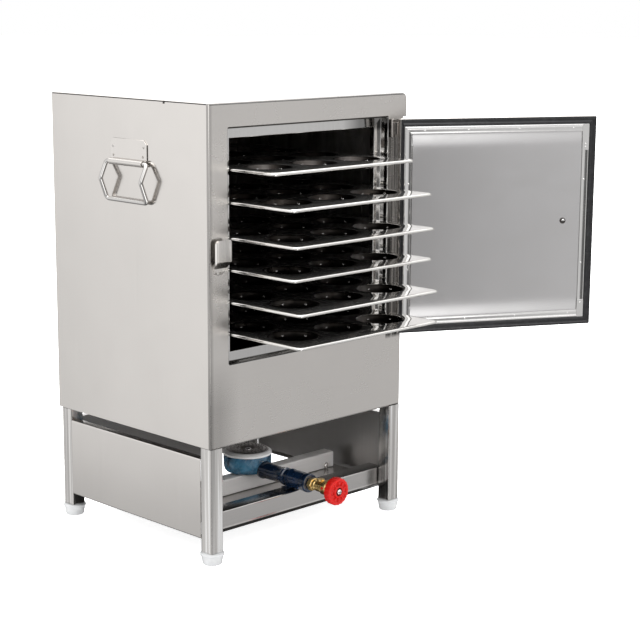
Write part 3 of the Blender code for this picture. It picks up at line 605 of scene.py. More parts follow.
# ------------------------------------------------------------------ cabinet skins
def front_sheet():
    """Header, stiles, tank front and the folded step round the doorway, in one sheet."""
    outline = [(0.0, BODY_Z), (WIDTH, BODY_Z), (WIDTH, HOOD_Z), (HOOD_X, HOOD_Z)]
    outline += arc(HOOD_X - 9.0, HEIGHT - 9.0, 9.0, 0, 90, 8)
    outline += [(0.0, HEIGHT)]
    bm = bmesh.new()

    def out(d, y):
        return place(inset(outline, d), "y", y)

    outer = skin(bm, [out(1.2, 5.0), out(0.0, 5.0), out(0.0, 2.6), out(0.20, 1.6), out(0.76, 0.76), out(1.6, 0.2), out(2.6, 0.0), out(3.4, 0.0)])

    def hole(d, y, r):
        return place(rr(OPEN_X[0] - d, OPEN_X[1] + d, OPEN_Z[0] - d, OPEN_Z[1] + d, r, 4), "y", y)

    seat = 16.0
    inner = skin(bm, [hole(2.6, 0.0, 4.2), hole(1.8, 0.0, 3.4), hole(0.9, 0.25, 2.7), hole(0.25, 0.9, 2.1), hole(0, 1.8, 1.9), hole(0, seat - 1.8, 1.9),
                      hole(-0.25, seat - 0.9, 1.7), hole(-0.9, seat - 0.25, 1.2), hole(-1.8, seat, 0.8),
                      hole(-15.2, seat, 0.6), hole(-15.8, seat + 0.2, 0.6), hole(-16.0, seat + 0.6, 0.6), hole(-16.0, seat + 9.0, 0.6)])
    fill_between(bm, outer[-1], inner[0])
    for face in bm.faces:
        c = face.calc_center_median()
        # Material 2 paints the rounded top and right edges dark, and material 3 paints the fold under the header
        # near-black, both as painted shade.
        if OPEN_X[0] - 1.9 < c.x < OPEN_X[1] + 1.9 and OPEN_Z[0] - 1.9 < c.z < OPEN_Z[1] + 1.9 and c.y > 0.05:
            face.material_index = 1
        elif 0.02 < c.y < 2.5 and (c.z > HEIGHT - 2.4 or c.x > HOOD_X - 2.4):
            face.material_index = 2
        if OPEN_Z[1] + 0.1 < c.z < OPEN_Z[1] + 2.7 and OPEN_X[0] - 1.0 < c.x < OPEN_X[1] + 1.0 and c.y < 1.5 and face.calc_area() < 1500:
            face.material_index = 3
    return make("front_sheet", bm, FRONT, nodes=("front_frame", "door_rebate"), limit=50, mats=(STEP, SHADE_EDGE, PAINTED_SHADE_STEEL))


def side_sheets():
    for name, x, d in (("left_side_sheet", 0.0, 1), ("right_side_sheet", WIDTH, -1)):
        bm = bmesh.new()
        top = HEIGHT - 1.9 if d == 1 else HEIGHT - 3.0
        path = [(x + d * 0.6, 5.02), (x + d * 0.6, DEPTH - 2.6)]
        pts = [(x, 5.02), (x, DEPTH - 3.4)]
        pts += [(x + d * (3.2 - 3.2 * math.cos(a)), DEPTH - 3.4 + 3.2 * math.sin(a)) for a in (math.radians(18 * k) for k in range(1, 6))]
        pts += [(x + d * 9.0, DEPTH - 0.2), (x + d * 9.0, DEPTH - 1.4), (x + d * 3.6, DEPTH - 1.4), (x + d * 1.2, DEPTH - 4.6), (x + d * 1.2, 5.02)]
        prism(bm, pts, "z", BODY_Z, top)
        make(name, bm, BODY, bevel=0.35, segs=2, nodes=("left_panel",) if d == 1 else ("right_panel",), limit=50)


def top_sheet():
    """Flat lid with edges turned down a little, and a drip edge on the right."""
    bm = bmesh.new()
    s = 1.2
    outline = [(1.4, HEIGHT - 1.6), (1.4, HEIGHT - 0.3), (1.7, HEIGHT)]
    outline += arc(HOOD_X - 9.0, HEIGHT - 9.0, 9.0, 90, 0, 8)
    outline += [(HOOD_X, HOOD_Z), (HOOD_X - s, HOOD_Z)]
    outline += arc(HOOD_X - 9.0, HEIGHT - 9.0, 9.0 - s, 0, 90, 8)
    outline += [(2.8, HEIGHT - s), (2.8, HEIGHT - 1.6)]
    prism(bm, outline, "y", 5.04, DEPTH - 0.3)
    make("top_sheet", bm, BODY, bevel=0.3, segs=2, nodes=("top_panel",), limit=50)


def lid_seam():
    """Near-black painted shade along the joint between the lid and the left side, with a nick where the seam was
    trimmed.
    """
    bm = bmesh.new()
    block(bm, (0.15, 1.38), (5.04, DEPTH - 3.6), (HEIGHT - 1.88, HEIGHT - 0.35))
    block(bm, (-0.35, 2.2), (100.5, 104.5), (HEIGHT - 4.6, HEIGHT - 0.1))
    make("lid_seam", bm, PAINTED_SHADE_STEEL)


def back_sheet():
    """Back wall, stiffened by a shallow pressed frame."""
    bm = bmesh.new()
    x0, x1, z0, z1 = 9.4, WIDTH - 9.4, BODY_Z + 0.4, HEIGHT - 1.4

    def loop(d, y, r):
        return place(rr(x0 + d, x1 - d, z0 + d, z1 - d, r, 5), "y", y)

    skin(bm, [loop(0, DEPTH - 1.6, 1), loop(0, DEPTH - 0.3, 1), loop(1, DEPTH - 0.3, 1), loop(35, DEPTH - 0.3, 12), loop(36, DEPTH - 0.3, 12), loop(37, DEPTH - 0.36, 11.5), loop(39.5, DEPTH - 0.62, 10.5), loop(42, DEPTH - 0.90, 9),
              loop(43, DEPTH - 0.95, 8.5), loop(45, DEPTH - 0.95, 8)], cap_last=True)
    rivets = []
    for x in (16.5, WIDTH - 16.5):
        for k in range(6):
            rivets.append((x, BODY_Z + 30 + k * 92))
    for x, z in rivets:
        dome(bm, (x, DEPTH - 0.4, z), "y", 2.6, 0.4, 14)
    make("back_sheet", bm, BODY, nodes=("back_panel",), limit=30)


front_sheet()
side_sheets()
top_sheet()
lid_seam()
back_sheet()


# ------------------------------------------------------------------ trays
def tray(index):
    x0, x1 = TRAY_X
    y0 = TRAY_FRONTS[index]
    y1 = y0 + TRAY_DEPTH
    top = TRAY_TOPS[index]
    cx = (x0 + x1) / 2
    cy = y0 + FIRST + PITCH[1]
    n = 8
    bm = bmesh.new()
    known = {}

    def vert(p):
        key = tuple(round(c, 3) for c in p)
        if key not in known:
            known[key] = bm.verts.new(p)
        return known[key]

    def ring(points, z):
        return [vert((x, y, z)) for x, y in points]

    def bridge(one, two):
        for s in range(len(one)):
            t = (s + 1) % len(one)
            corners = []
            for v in (one[s], one[t], two[t], two[s]):
                if v not in corners:
                    corners.append(v)
            if len(corners) > 2:
                bm.faces.new(corners)

    def rectangle(px, py, hx, hy, m):
        out = []
        corners = [(1, -1), (1, 1), (-1, 1), (-1, -1)]
        for i in range(4):
            a, b = corners[i], corners[(i + 1) % 4]
            for s in range(m):
                t = s / m
                out.append((px + hx * (a[0] * (1 - t) + b[0] * t), py + hy * (a[1] * (1 - t) + b[1] * t)))
        return out

    def circle(px, py, r):
        m = 4 * n
        return [(px + r * math.cos(math.radians(-45 + 360 * s / m)), py + r * math.sin(math.radians(-45 + 360 * s / m))) for s in range(m)]

    dish = [(40.0, 0.0), (38.7, -0.35), (37.8, -1.4), (36.9, -3.6), (35.2, -7.0), (32.2, -10.6), (27.0, -13.8), (19.0, -15.7), (9.5, -16.2)]
    for i in (-1, 0, 1):
        for j in (-1, 0, 1):
            px, py = cx + i * PITCH[0], cy + j * PITCH[1]
            last = ring(rectangle(px, py, PITCH[0] / 2, PITCH[1] / 2, n), top)
            for r, z in dish:
                now = ring(circle(px, py, r), top + z)
                bridge(last, now)
                last = now
            centre = vert((px, py, top - 16.3))
            for s in range(len(last)):
                bm.faces.new((last[s], last[(s + 1) % len(last)], centre))
    m = 3 * n
    inner = ring(rectangle(cx, cy, PITCH[0] * 1.5, PITCH[1] * 1.5, m), top)

    def outline(d, r):
        """The tray's outline with rounded corners, one point for each of the block's."""
        wx, wy, mx, my = (x1 - x0) / 2 - d, (y1 - y0) / 2 - d, (x0 + x1) / 2, (y0 + y1) / 2
        out = []
        for i in range(4):
            (ax, ay), (bx, by) = [((1, -1), (1, 1)), ((1, 1), (-1, 1)), ((-1, 1), (-1, -1)), ((-1, -1), (1, -1))][i]
            length = 2 * (wy if ax == bx else wx)
            for s in range(m):
                # Four points a corner, evenly spaced elsewhere.
                along = {0: None, 1: None, 2: None, m - 2: None, m - 1: None}
                if s in along:
                    corner, sign = ((ax, ay), 1) if s < 3 else ((bx, by), -1)
                    turn = {0: 45.0, 1: 67.5, 2: 90.0, m - 2: 90.0, m - 1: 67.5}[s]
                    ccx, ccy = corner[0] * (wx - r), corner[1] * (wy - r)
                    base = math.degrees(math.atan2(corner[1], corner[0]))
                    base = {(1, -1): -45.0, (1, 1): 45.0, (-1, 1): 135.0, (-1, -1): 225.0}[corner]
                    a = math.radians(base + sign * (turn - 45.0))
                    out.append((mx + ccx + r * math.cos(a), my + ccy + r * math.sin(a)))
                else:
                    t0 = (length - 2 * r) * (s - 2) / (m - 4)
                    dx, dy = (bx - ax) / 2, (by - ay) / 2
                    sx = ax * wx + dx * (r + t0) if dx else ax * wx
                    sy = ay * wy + dy * (r + t0) if dy else ay * wy
                    out.append((mx + sx, my + sy))
        return out

    lip = [(3.2, 0.0, 7.0), (1.9, -0.18, 7.6), (0.85, -0.85, 7.9), (0.2, -1.9, 8.0), (0.0, -3.0, 8.0), (0.15, -4.0, 8.0), (0.7, -4.75, 8.0), (1.6, -5.0, 7.6), (2.6, -4.7, 7.0), (3.0, -4.0, 6.8)]
    last = inner
    for d, z, r in lip:
        now = ring(outline(d, r), top + z)
        bridge(now, last)
        last = now
    bmesh.ops.recalc_face_normals(bm, faces=bm.faces[:])
    # The underside, a millimetre below.
    if sum(f.normal.z * f.calc_area() for f in bm.faces) < 0:
        bmesh.ops.reverse_faces(bm, faces=bm.faces[:])
    for v in bm.verts:
        v.co = P(*v.co)
    name = f"tray_{index + 1}_pan"
    mesh = bpy.data.meshes.new(name)
    bm.to_mesh(mesh)
    bm.free()
    mesh.shade_smooth()
    obj = bpy.data.objects.new(name, mesh)
    scene.collection.objects.link(obj)
    mesh.materials.append(TRAYMETAL)
    mesh.materials.append(DISH_PAINTED_SHADE)
    # Faces inside the dishes take the near-black painted shade.
    for poly in mesh.polygons:
        middle = poly.center
        across = (middle.x - P(cx, cy, 0).x) * 1000, (middle.y - P(cx, cy, 0).y) * 1000
        u = across[0] - PITCH[0] * max(-1, min(1, round(across[0] / PITCH[0])))
        v = across[1] - PITCH[1] * max(-1, min(1, round(across[1] / PITCH[1])))
        if math.hypot(u, v) < 38.4 and middle.z * 1000 < top - 0.25:
            poly.material_index = 1
    mod = obj.modifiers.new("sheet", "SOLIDIFY")
    mod.thickness = 0.0009
    mod.offset = -1.0
    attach(obj, f"tray_{index + 1}")
    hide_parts(f"tray_{index + 1}")

    # Small raised eyelets in each dish.
    bm = bmesh.new()
    pit = bmesh.new()
    for i in (-1, 0, 1):
        for j in (-1, 0, 1):
            px, py = cx + i * PITCH[0], cy + j * PITCH[1]
            for k in range(6):
                a = math.radians(15 + 60 * k)
                r, z = 35.5, -6.7
                out = Vector((math.cos(a), math.sin(a), 0))
                w = (out * -0.84 + Vector((0, 0, 0.54))).normalized()
                u = Vector((-out.y, out.x, 0))
                v = w.cross(u)
                c = Vector((px, py, top + z)) + out * r
                lathe(bm, [(2.1, -0.1), (1.7, 0.35), (1.25, 0.5), (0.95, 0.25), (0.9, -0.3)], c, (u, v, w), 10)
    make(f"tray_{index + 1}_eyelets", bm, BRIGHT, body=f"tray_{index + 1}", limit=60)
    pit.free()


for k in range(6):
    tray(k)


# ------------------------------------------------------------------ door
def door():
    x0, x1, z0, z1 = DOOR_X[0], DOOR_X[1], DOOR_Z[0], DOOR_Z[1]

    def loop(d, y, r, n=5, shift=0.0):
        return place(rr(x0 + d, x1 - d + shift, z0 + d, z1 - d, r, n), "y", y)

    # Outer pan: face, rounded border and rim.
    bm = bmesh.new()
    skin(bm, [loop(26, 0.9, 14), loop(24, 0.75, 14), loop(21, 0.0, 16), loop(3.0, 0.0, 3.0), loop(1.6, 0.2, 2.6), loop(0.76, 0.76, 2.2), loop(0.2, 1.6, 2.0),
              loop(0, 3.0, 2.0), loop(0, DOOR_T - 0.6, 2.0), loop(0.5, DOOR_T - 0.1, 1.8), loop(14, DOOR_T - 0.1, 1.0)], cap_first=True)
    make("door_outer_pan", bm, BODY, "door", DOOR, nodes=("door_skin",), limit=50)

    # Inner sheet, rolled over towards its top and bottom edges.
    bm = bmesh.new()
    rise = [(0, 0.12), (1.5, 0.22), (4, 0.48), (8, 0.90), (12.5, 1.34), (17, 1.73), (21, 2.00), (25, 2.18), (30, 2.31), (37, 2.39), (52, 2.44), (100, 2.46), (150, 2.47)]
    zs = [(z0 + 25.5 + d, y) for d, y in rise] + [(z1 - 25.5 - d, y) for d, y in reversed(rise)]
    xa, xb = x0 + 25.5, x1 - 19.3
    xs = [(xa, 0), (xa + 1.2, 1), (xa + 2.4, 1), (xa + 4.0, 1)] + [(xa + (xb - xa) * k / 8, 1) for k in range(1, 8)] + [(xb - 4.0, 1), (xb - 2.4, 1), (xb - 1.2, 1), (xb, 0)]
    grid = [[bm.verts.new((x, DOOR_T + (y if on else 0.12), z)) for x, on in xs] for z, y in zs]
    for one, two in zip(grid, grid[1:]):
        for k in range(len(xs) - 1):
            bm.faces.new((one[k], one[k + 1], two[k + 1], two[k]))
    # The flat margin that goes under the retainer.
    rim = [grid[0][k] for k in range(len(xs))] + [row[-1] for row in grid[1:]] + [grid[-1][k] for k in range(len(xs) - 2, -1, -1)] + [row[0] for row in reversed(grid[1:-1])]
    far = []
    for v in rim:
        x = xa - 13 if v.co.x < xa + 0.01 else xb + 13 if v.co.x > xb - 0.01 else v.co.x
        z = zs[0][0] - 13 if v.co.z < zs[0][0] + 0.01 else zs[-1][0] + 13 if v.co.z > zs[-1][0] - 0.01 else v.co.z
        far.append(bm.verts.new((x, DOOR_T + 0.10, z)))
    for k in range(len(rim)):
        m = (k + 1) % len(rim)
        bm.faces.new((rim[k], rim[m], far[m], far[k]))
    make("door_inner_sheet", bm, DOORSHEET, "door", DOOR, nodes=("door_liner",), limit=50)

    # Gasket: two beads with a groove between them.
    def bead(stations, name, mat, nodes):
        bm = bmesh.new()
        skin(bm, [loop(d, DOOR_T + y, r, 3, min(6.2, (d - 0.5) * 0.5)) for d, y, r in stations], closed=True)
        return make(name, bm, mat, "door", DOOR, nodes=nodes, limit=45)

    bead([(0.5, 0.3, 1.5), (0.5, 1.5, 1.5), (1.2, 2.1, 1.4), (2.6, 2.2, 1.3), (4.2, 2.1, 1.2), (4.9, 1.3, 1.2), (5.3, 1.0, 1.2), (7.6, 1.0, 1.2), (8.0, 1.3, 1.1),
          (8.7, 2.1, 1.0), (10.6, 2.2, 1.0), (12.2, 2.0, 1.0), (12.9, 1.3, 1.0), (12.9, 0.3, 1.0)],
         "door_gasket_profile", BLACK, ("door_gasket",))
    bead([(13.3, 0.3, 1.0), (13.3, 1.2, 1.0), (13.9, 1.75, 1.0), (15.0, 1.8, 1.0), (16.2, 1.45, 1.0), (16.8, 1.2, 1.0), (23.6, 1.2, 1.0), (24.4, 1.55, 1.0), (24.9, 1.3, 1.0), (24.9, 0.3, 1.0)],
         "gasket_retainer_strip", BRIGHT, ("gasket_retainer",))

    # Rivets along the retainer and a lapped strip end at the far upper corner.
    bm = bmesh.new()
    mid = 20.3
    for f in (0.12, 0.40, 0.66, 0.88):
        x = x0 + (x1 - x0) * f
        for z in (z0 + mid, z1 - mid):
            dome(bm, (x, DOOR_T + 1.15, z), "y", 1.7, 0.7, 12)
    for f in (0.30, 0.70):
        z = z0 + (z1 - z0) * f
        for x in (x0 + mid, x1 - mid + 6.0):
            dome(bm, (x, DOOR_T + 1.15, z), "y", 1.7, 0.7, 12)
    make("retainer_rivets", bm, BRIGHT, "door", DOOR, limit=60)
    bm = bmesh.new()
    for zz in ((z1 - 13.3 - 44, z1 - 13.3), (z0 + 13.3, z0 + 13.3 + 30)):
        prism(bm, rr(x0 + 13.3, x0 + 25.2, zz[0], zz[1], 0.8, 2), "y", DOOR_T + 1.2, DOOR_T + 1.95)
    make("retainer_laps", bm, BRIGHT, "door", DOOR, bevel=0.2)
    bm = bmesh.new()
    for z in (z1 - 52.0, z1 - 47.0, z0 + 38.0):
        dome(bm, (x0 + 19.2, DOOR_T + 1.9, z), "y", 1.6, 0.8, 12)
    make("lap_rivets", bm, BRIGHT, "door", DOOR, limit=60)


door()


def door_hardware():
    lx, lz = LATCH
    # Pivot bolt: slotted head outside, button with washer inside.
    bm = bmesh.new()
    lathe(bm, [(0, -25.0), (5.6, -25.0), (6.7, -24.2), (7.0, -22.8), (7.0, -20.6), (6.6, -20.3), (4.0, -20.3), (4.0, DOOR_T + 1.0)], (lx, 0, lz), "y", 24)
    lathe(bm, [(0, DOOR_T + 1.2), (5.2, DOOR_T + 1.2), (5.2, DOOR_T + 3.3), (4.6, DOOR_T + 3.6), (3.0, DOOR_T + 3.7), (3.0, DOOR_T + 5.0), (2.3, DOOR_T + 5.5), (0, DOOR_T + 5.6)], (lx, 0, lz), "y", 24)
    # The button's collar and lower half take near-black painted shade; the top of its stem stays bright.
    for face in bm.faces:
        c = face.calc_center_median()
        if c.y > DOOR_T + 1.1 and (math.hypot(c.x - lx, c.z - lz) > 3.0 or c.z < lz):
            face.material_index = 1
    make("latch_bolt", bm, BRIGHT, "door", DOOR, nodes=("latch_pivot",), limit=30, mats=(PAINTED_SHADE_STEEL,))

    # Lever: boss, wedge blade and a shaped grip, cast in one.
    bm = bmesh.new()
    lathe(bm, [(4.3, -20.0), (12.0, -20.0), (14.0, -19.2), (15.0, -17.5), (15.0, -5.0), (14.4, -3.2), (12.6, -2.4), (4.3, -2.4)], (lx, 0, lz), "y", 36, closed=True)
    blade = [(lx - 9, lz + 8.5), (lx - 40, lz + 7.0), (lx - 80, lz + 5.2), (lx - 85, lz + 3), (lx - 86, lz), (lx - 85, lz - 3), (lx - 80, lz - 5.2), (lx - 40, lz - 7.0), (lx - 9, lz - 8.5)]
    prism(bm, blade, "y", -9.0, -5.0)
    stations = []
    for k in range(13):
        f = k / 12
        x = lx + 6 + 118 * f
        half = 7.5 - 1.2 * math.sin(math.pi * f) + (2.0 * f if f > 0.6 else 1.2 * f)
        if f > 0.9:
            half *= math.sqrt(max(0.02, 1 - ((f - 0.9) / 0.1) ** 2)) * 0.96 + 0.04
        deep = 4.6 if f < 0.92 else 4.6 * math.sqrt(max(0.05, 1 - ((f - 0.92) / 0.085) ** 2))
        ring = []
        for s in range(16):
            a = 2 * math.pi * s / 16
            c, d = math.cos(a), math.sin(a)
            sx = math.copysign(abs(c) ** 0.6, c) * half
            sy = math.copysign(abs(d) ** 0.6, d) * deep
            ring.append((x, -15.2 + sy - 0.2 * math.sin(math.pi * f), lz + sx))
        stations.append(ring)
    skin(bm, stations, cap_first=True, cap_last=True)
    make("latch_lever_casting", bm, ALLOY, "latch", LEVER, bevel=0.5, segs=2, nodes=("latch_lever",), limit=50)

    # Hinge leaves with rolled eyes and screws.
    px, py = HINGE
    for which, za, zb in (("top", 650.0, 670.0), ("bottom", 325.0, 345.0)):
        bm = bmesh.new()
        path = [(px - 34, -1.05), (px - 6.2, -1.05)]
        eye = [(px - 3.3, -1.05)] + [(px + 3.3 * math.sin(a), py + 3.3 * math.cos(a) * 0.98 + 0.0) for a in (math.radians(-50 + 37 * k) for k in range(9))]
        outline = [(px - 34, -1.8), (px - 34, -0.35), (px - 3.95, -0.35)]
        prism(bm, [(px - 34, -1.8), (px - 3.4, -1.8), (px - 3.4, -0.35), (px - 34, -0.35)], "z", za, zb)
        lathe(bm, [(2.55, za), (3.9, za), (3.9, zb), (2.55, zb)], (px, py, 0), "z", 28, closed=True)
        make(f"hinge_leaf_{which}_plate", bm, HINGE_STEEL, "door", DOOR, bevel=0.25, nodes=(f"hinge_leaf_{which}",), limit=40)
        bm = bmesh.new()
        for dx in (-27.0, -15.0):
            dome(bm, (px + dx, -1.75, (za + zb) / 2), NEG["y"], 2.8, 1.3, 16)
        make(f"hinge_leaf_{which}_screws", bm, BRIGHT, "door", DOOR, limit=60)
        bm = bmesh.new()
        prism(bm, [(px + 4.8, -1.8), (px + 27, -1.8), (px + 27, -0.35), (px + 4.8, -0.35)], "z", za - 4, zb + 4)
        for z_a, z_b in ((zb + 0.35, zb + 4), (za - 4, za - 0.35)):
            prism(bm, arc(px, py, 3.6, 90, 270, 10) + [(px + 8, py - 3.6), (px + 8, -0.35), (px, -0.35)], "z", z_a, z_b)
        lathe(bm, [(0, za - 5.5), (1.8, za - 5.5), (2.42, za - 4.9), (2.42, zb + 4.9), (1.8, zb + 5.5), (0, zb + 5.5)], (px, py, 0), "z", 20)
        make(f"hinge_bracket_{which}_plate", bm, HINGE_STEEL, bevel=0.25, nodes=(f"hinge_bracket_{which}",), limit=45)
        bm = bmesh.new()
        for dz in (4.0, -4.0):
            dome(bm, (px + 20, -1.75, (za + zb) / 2 + dz * 1.4), NEG["y"], 2.4, 1.1, 16)
        make(f"hinge_bracket_{which}_screws", bm, BRIGHT, limit=60)


door_hardware()


# ------------------------------------------------------------------ keeper
def keeper():
    """A bent strap with a rounded free end, standing off the stile and welded at its foot."""
    path = fillet([(-0.95, 463.6), (-0.95, 470.0), (-10.4, 479.0), (-10.4, 512.8)], [4.0, 5.0], 6)
    rings = []
    for i, q in enumerate(path):
        before = path[i] - path[i - 1] if i else path[1] - path[0]
        n = Vector((-before.y, before.x)).normalized() * 0.65
        f = (q.y - 463.6) / 49.2
        xa, xb = 6.0, 35.5
        if q.y < 474.0:
            xa, xb = 6.0 + (474.0 - q.y) * 0.28, 35.5 - (474.0 - q.y) * 0.42
        lip = Vector((min(q.x - n.x * 6.5, -0.2), q.y - n.y * 4.0))
        rings.append([(xa, q.x + n.x, q.y + n.y), (xb, q.x + n.x, q.y + n.y), (xb, q.x - n.x, q.y - n.y), (xa + 1.6, q.x - n.x, q.y - n.y), (xa + 1.6, lip.x, lip.y), (xa, lip.x, lip.y)])
    # The free end is cut round.
    for k in range(1, 8):
        a = math.radians(90 * k / 7)
        z = 512.8 - 7.0 + 7.0 * math.sin(a)
        cut = 7.0 * (1 - math.cos(a))
        if k == 1:
            rings = rings[:-1]
        rings.append([(6.0 + cut, -11.05, z), (35.5 - cut * 0.5, -11.05, z), (35.5 - cut * 0.5, -9.75, z), (7.6 + cut, -9.75, z), (7.6 + cut, -6.2, z), (6.0 + cut, -6.2, z)])
    bm = bmesh.new()
    skin(bm, rings, cap_first=True, cap_last=True)
    make("keeper_strap", bm, KEEPER, bevel=0.5, segs=3, nodes=("latch_keeper",), limit=60)
    bm = bmesh.new()
    for x, z, r in ((11, 463.2, 3.2), (17.0, 461.8, 3.6), (23.5, 462.6, 3.4), (28.5, 464.2, 2.6)):
        dome(bm, (x, -0.1, z), NEG["y"], r, 1.4, 14)
    make("keeper_welds", bm, WELD, limit=60)


keeper()


# ------------------------------------------------------------------ handles
def handle(side):
    name = ("left", "right")[side]
    d = -1 if not side else 1
    base = 0.0 if not side else WIDTH

    def fx(v):
        return base + d * v

    ya, yb = 143.0, 233.0
    g = 0.3
    zc, ro, ri = 616.5, 5.3, 3.9
    # Plate hugging the wall, its lower edge rolled round the bail's bar.
    outline = [(fx(g), 653.0), (fx(1.6), 653.0), (fx(1.6), 622.0)]
    cxr = fx(g + 5.4)
    for k in range(0, 19):
        a = math.radians(118 + k * 19.0)
        outline.append((cxr + (-d) * -ro * math.cos(a) * -1, zc + ro * math.sin(a)))
    bm = bmesh.new()
    n = 22
    ring_out = [(cxr + d * ro * math.cos(math.radians(140 - 345 * k / n)), zc + ro * math.sin(math.radians(140 - 345 * k / n))) for k in range(n + 1)]
    ring_in = [(cxr + d * ri * math.cos(math.radians(140 - 345 * k / n)), zc + ri * math.sin(math.radians(140 - 345 * k / n))) for k in range(n + 1)]
    prism(bm, ring_out + ring_in[::-1], "y", ya + 4, yb - 4)
    chamfer = 7.0
    plate = [(ya, 621.5), (ya, 653.0 - chamfer), (ya + chamfer, 653.0), (yb - chamfer, 653.0), (yb, 653.0 - chamfer), (yb, 621.5), (yb - 4, 618.5), (ya + 4, 618.5)]
    prism(bm, plate, "x", fx(g), fx(1.6))
    make(f"{name}_handle_bracket", bm, BODY, bevel=0.35, segs=2, nodes=(f"{name}_handle_plate",), limit=45)
    bm = bmesh.new()
    for y, z in ((ya + 7, 642), (ya + 9, 627), (yb - 7, 640), (yb - 8, 626)):
        dome(bm, (fx(1.5), y, z), NEG["x"] if not side else "x", 2.3, 0.5, 14)
    make(f"{name}_handle_welds", bm, WELD, limit=60)
    y0, y1 = ya - 5.0, yb + 5.0
    out = d
    path = [(cxr, (ya + yb) / 2 + 0.6, zc), (cxr, y1, zc), (cxr + out * 12.5, y1, zc - 27), (cxr, y1, zc - 60),
            (cxr, y0, zc - 60), (cxr + out * 12.5, y0, zc - 27), (cxr, y0, zc), (cxr, (ya + yb) / 2 - 0.6, zc)]
    bm = bmesh.new()
    rod(bm, fillet(path, 6.5, 6), 3.5, 18)
    make(f"{name}_bail_rod", bm, WIRE, f"{name}_bail", nodes=(f"{name}_handle_bail",), limit=60)


handle(0)
handle(1)


# ------------------------------------------------------------------ stand
def stand():
    spots = {"front_left": (0, 0), "front_right": (WIDTH - LEG, 0), "rear_left": (0, REAR_Y - LEG), "rear_right": (WIDTH - LEG, REAR_Y - LEG)}
    for name, (x, y) in spots.items():
        bm = bmesh.new()
        outer, inner = rr(x, x + LEG, y, y + LEG, 2.2, 5), rr(x + 1.5, x + LEG - 1.5, y + 1.5, y + LEG - 1.5, 1.2, 5)
        top = BODY_Z - 0.3
        skin(bm, [place(inner, "z", top), place(outer, "z", top), place(outer, "z", LEG_BOTTOM + 0.2), place(inner, "z", LEG_BOTTOM + 0.2)], closed=True)
        make(f"leg_tube_{name}", bm, LEGS, nodes=(f"leg_{name}",), limit=50)
        cx, cy = x + LEG / 2, y + LEG / 2
        bm = bmesh.new()
        lathe(bm, [(0, 0), (12.5, 0), (14.2, 0.5), (15.2, 1.8), (16.6, 9.5), (17.3, 13.6), (18.6, 14.9), (19.0, 15.6), (19.0, 17.6), (18.5, 18.5), (17.6, 19.1), (0, 19.1)],
              (cx, cy, 0), "z", 48)
        prism(bm, rr(x + 1.9, x + LEG - 1.9, y + 1.9, y + LEG - 1.9, 1.0, 3), "z", 18.0, 30.0)
        make(f"foot_cap_{name}", bm, WHITE, nodes=(f"foot_{name}",), limit=50)
    y0, y1 = LEG + 0.3, REAR_Y - LEG - 0.3
    z0, z1 = PANEL_Z
    for name, x in (("left", 0.0), ("right", WIDTH)):
        d = 1 if name == "left" else -1
        path = [(x + d * 14, z1 - 0.6), (x + d * 0.6, z1 - 0.6), (x + d * 0.6, z0 + 0.6), (x + d * 14, z0 + 0.6)]
        bm = bmesh.new()
        prism(bm, folded(path, 1.2, 2.4, 5), "y", y0, y1)
        make(f"apron_{name}", bm, SIDE_APRON if name == "left" else APRON, bevel=0.3, nodes=(f"lower_panel_{name}",), limit=50)
    path = [(REAR_Y - 14, z1 - 0.6), (REAR_Y - 0.6, z1 - 0.6), (REAR_Y - 0.6, z0 + 0.6), (REAR_Y - 14, z0 + 0.6)]
    bm = bmesh.new()
    prism(bm, folded(path, 1.2, 2.4, 5), "x", LEG + 0.3, WIDTH - LEG - 0.3)
    make("apron_back", bm, APRON, bevel=0.3, nodes=("lower_panel_back",), limit=50)

    # Cross member: hem, face, top, back and shelf.
    bm = bmesh.new()
    path = [(39.5, 38.6), (30.2, 38.6), (26.0, 45.4), (26.9, 47.4), (26.9, 73.4), (57.4, 73.4), (57.4, 53.1), (160.0, 53.1)]
    prism(bm, folded(path, 1.2, [1.4, 0.8, 0.8, 2.2, 2.2, 1.6], 4), "x", 14.4, WIDTH - 14.4)
    make("cross_member", bm, BAY, bevel=0.25, nodes=("burner_shelf",), limit=50)


stand()


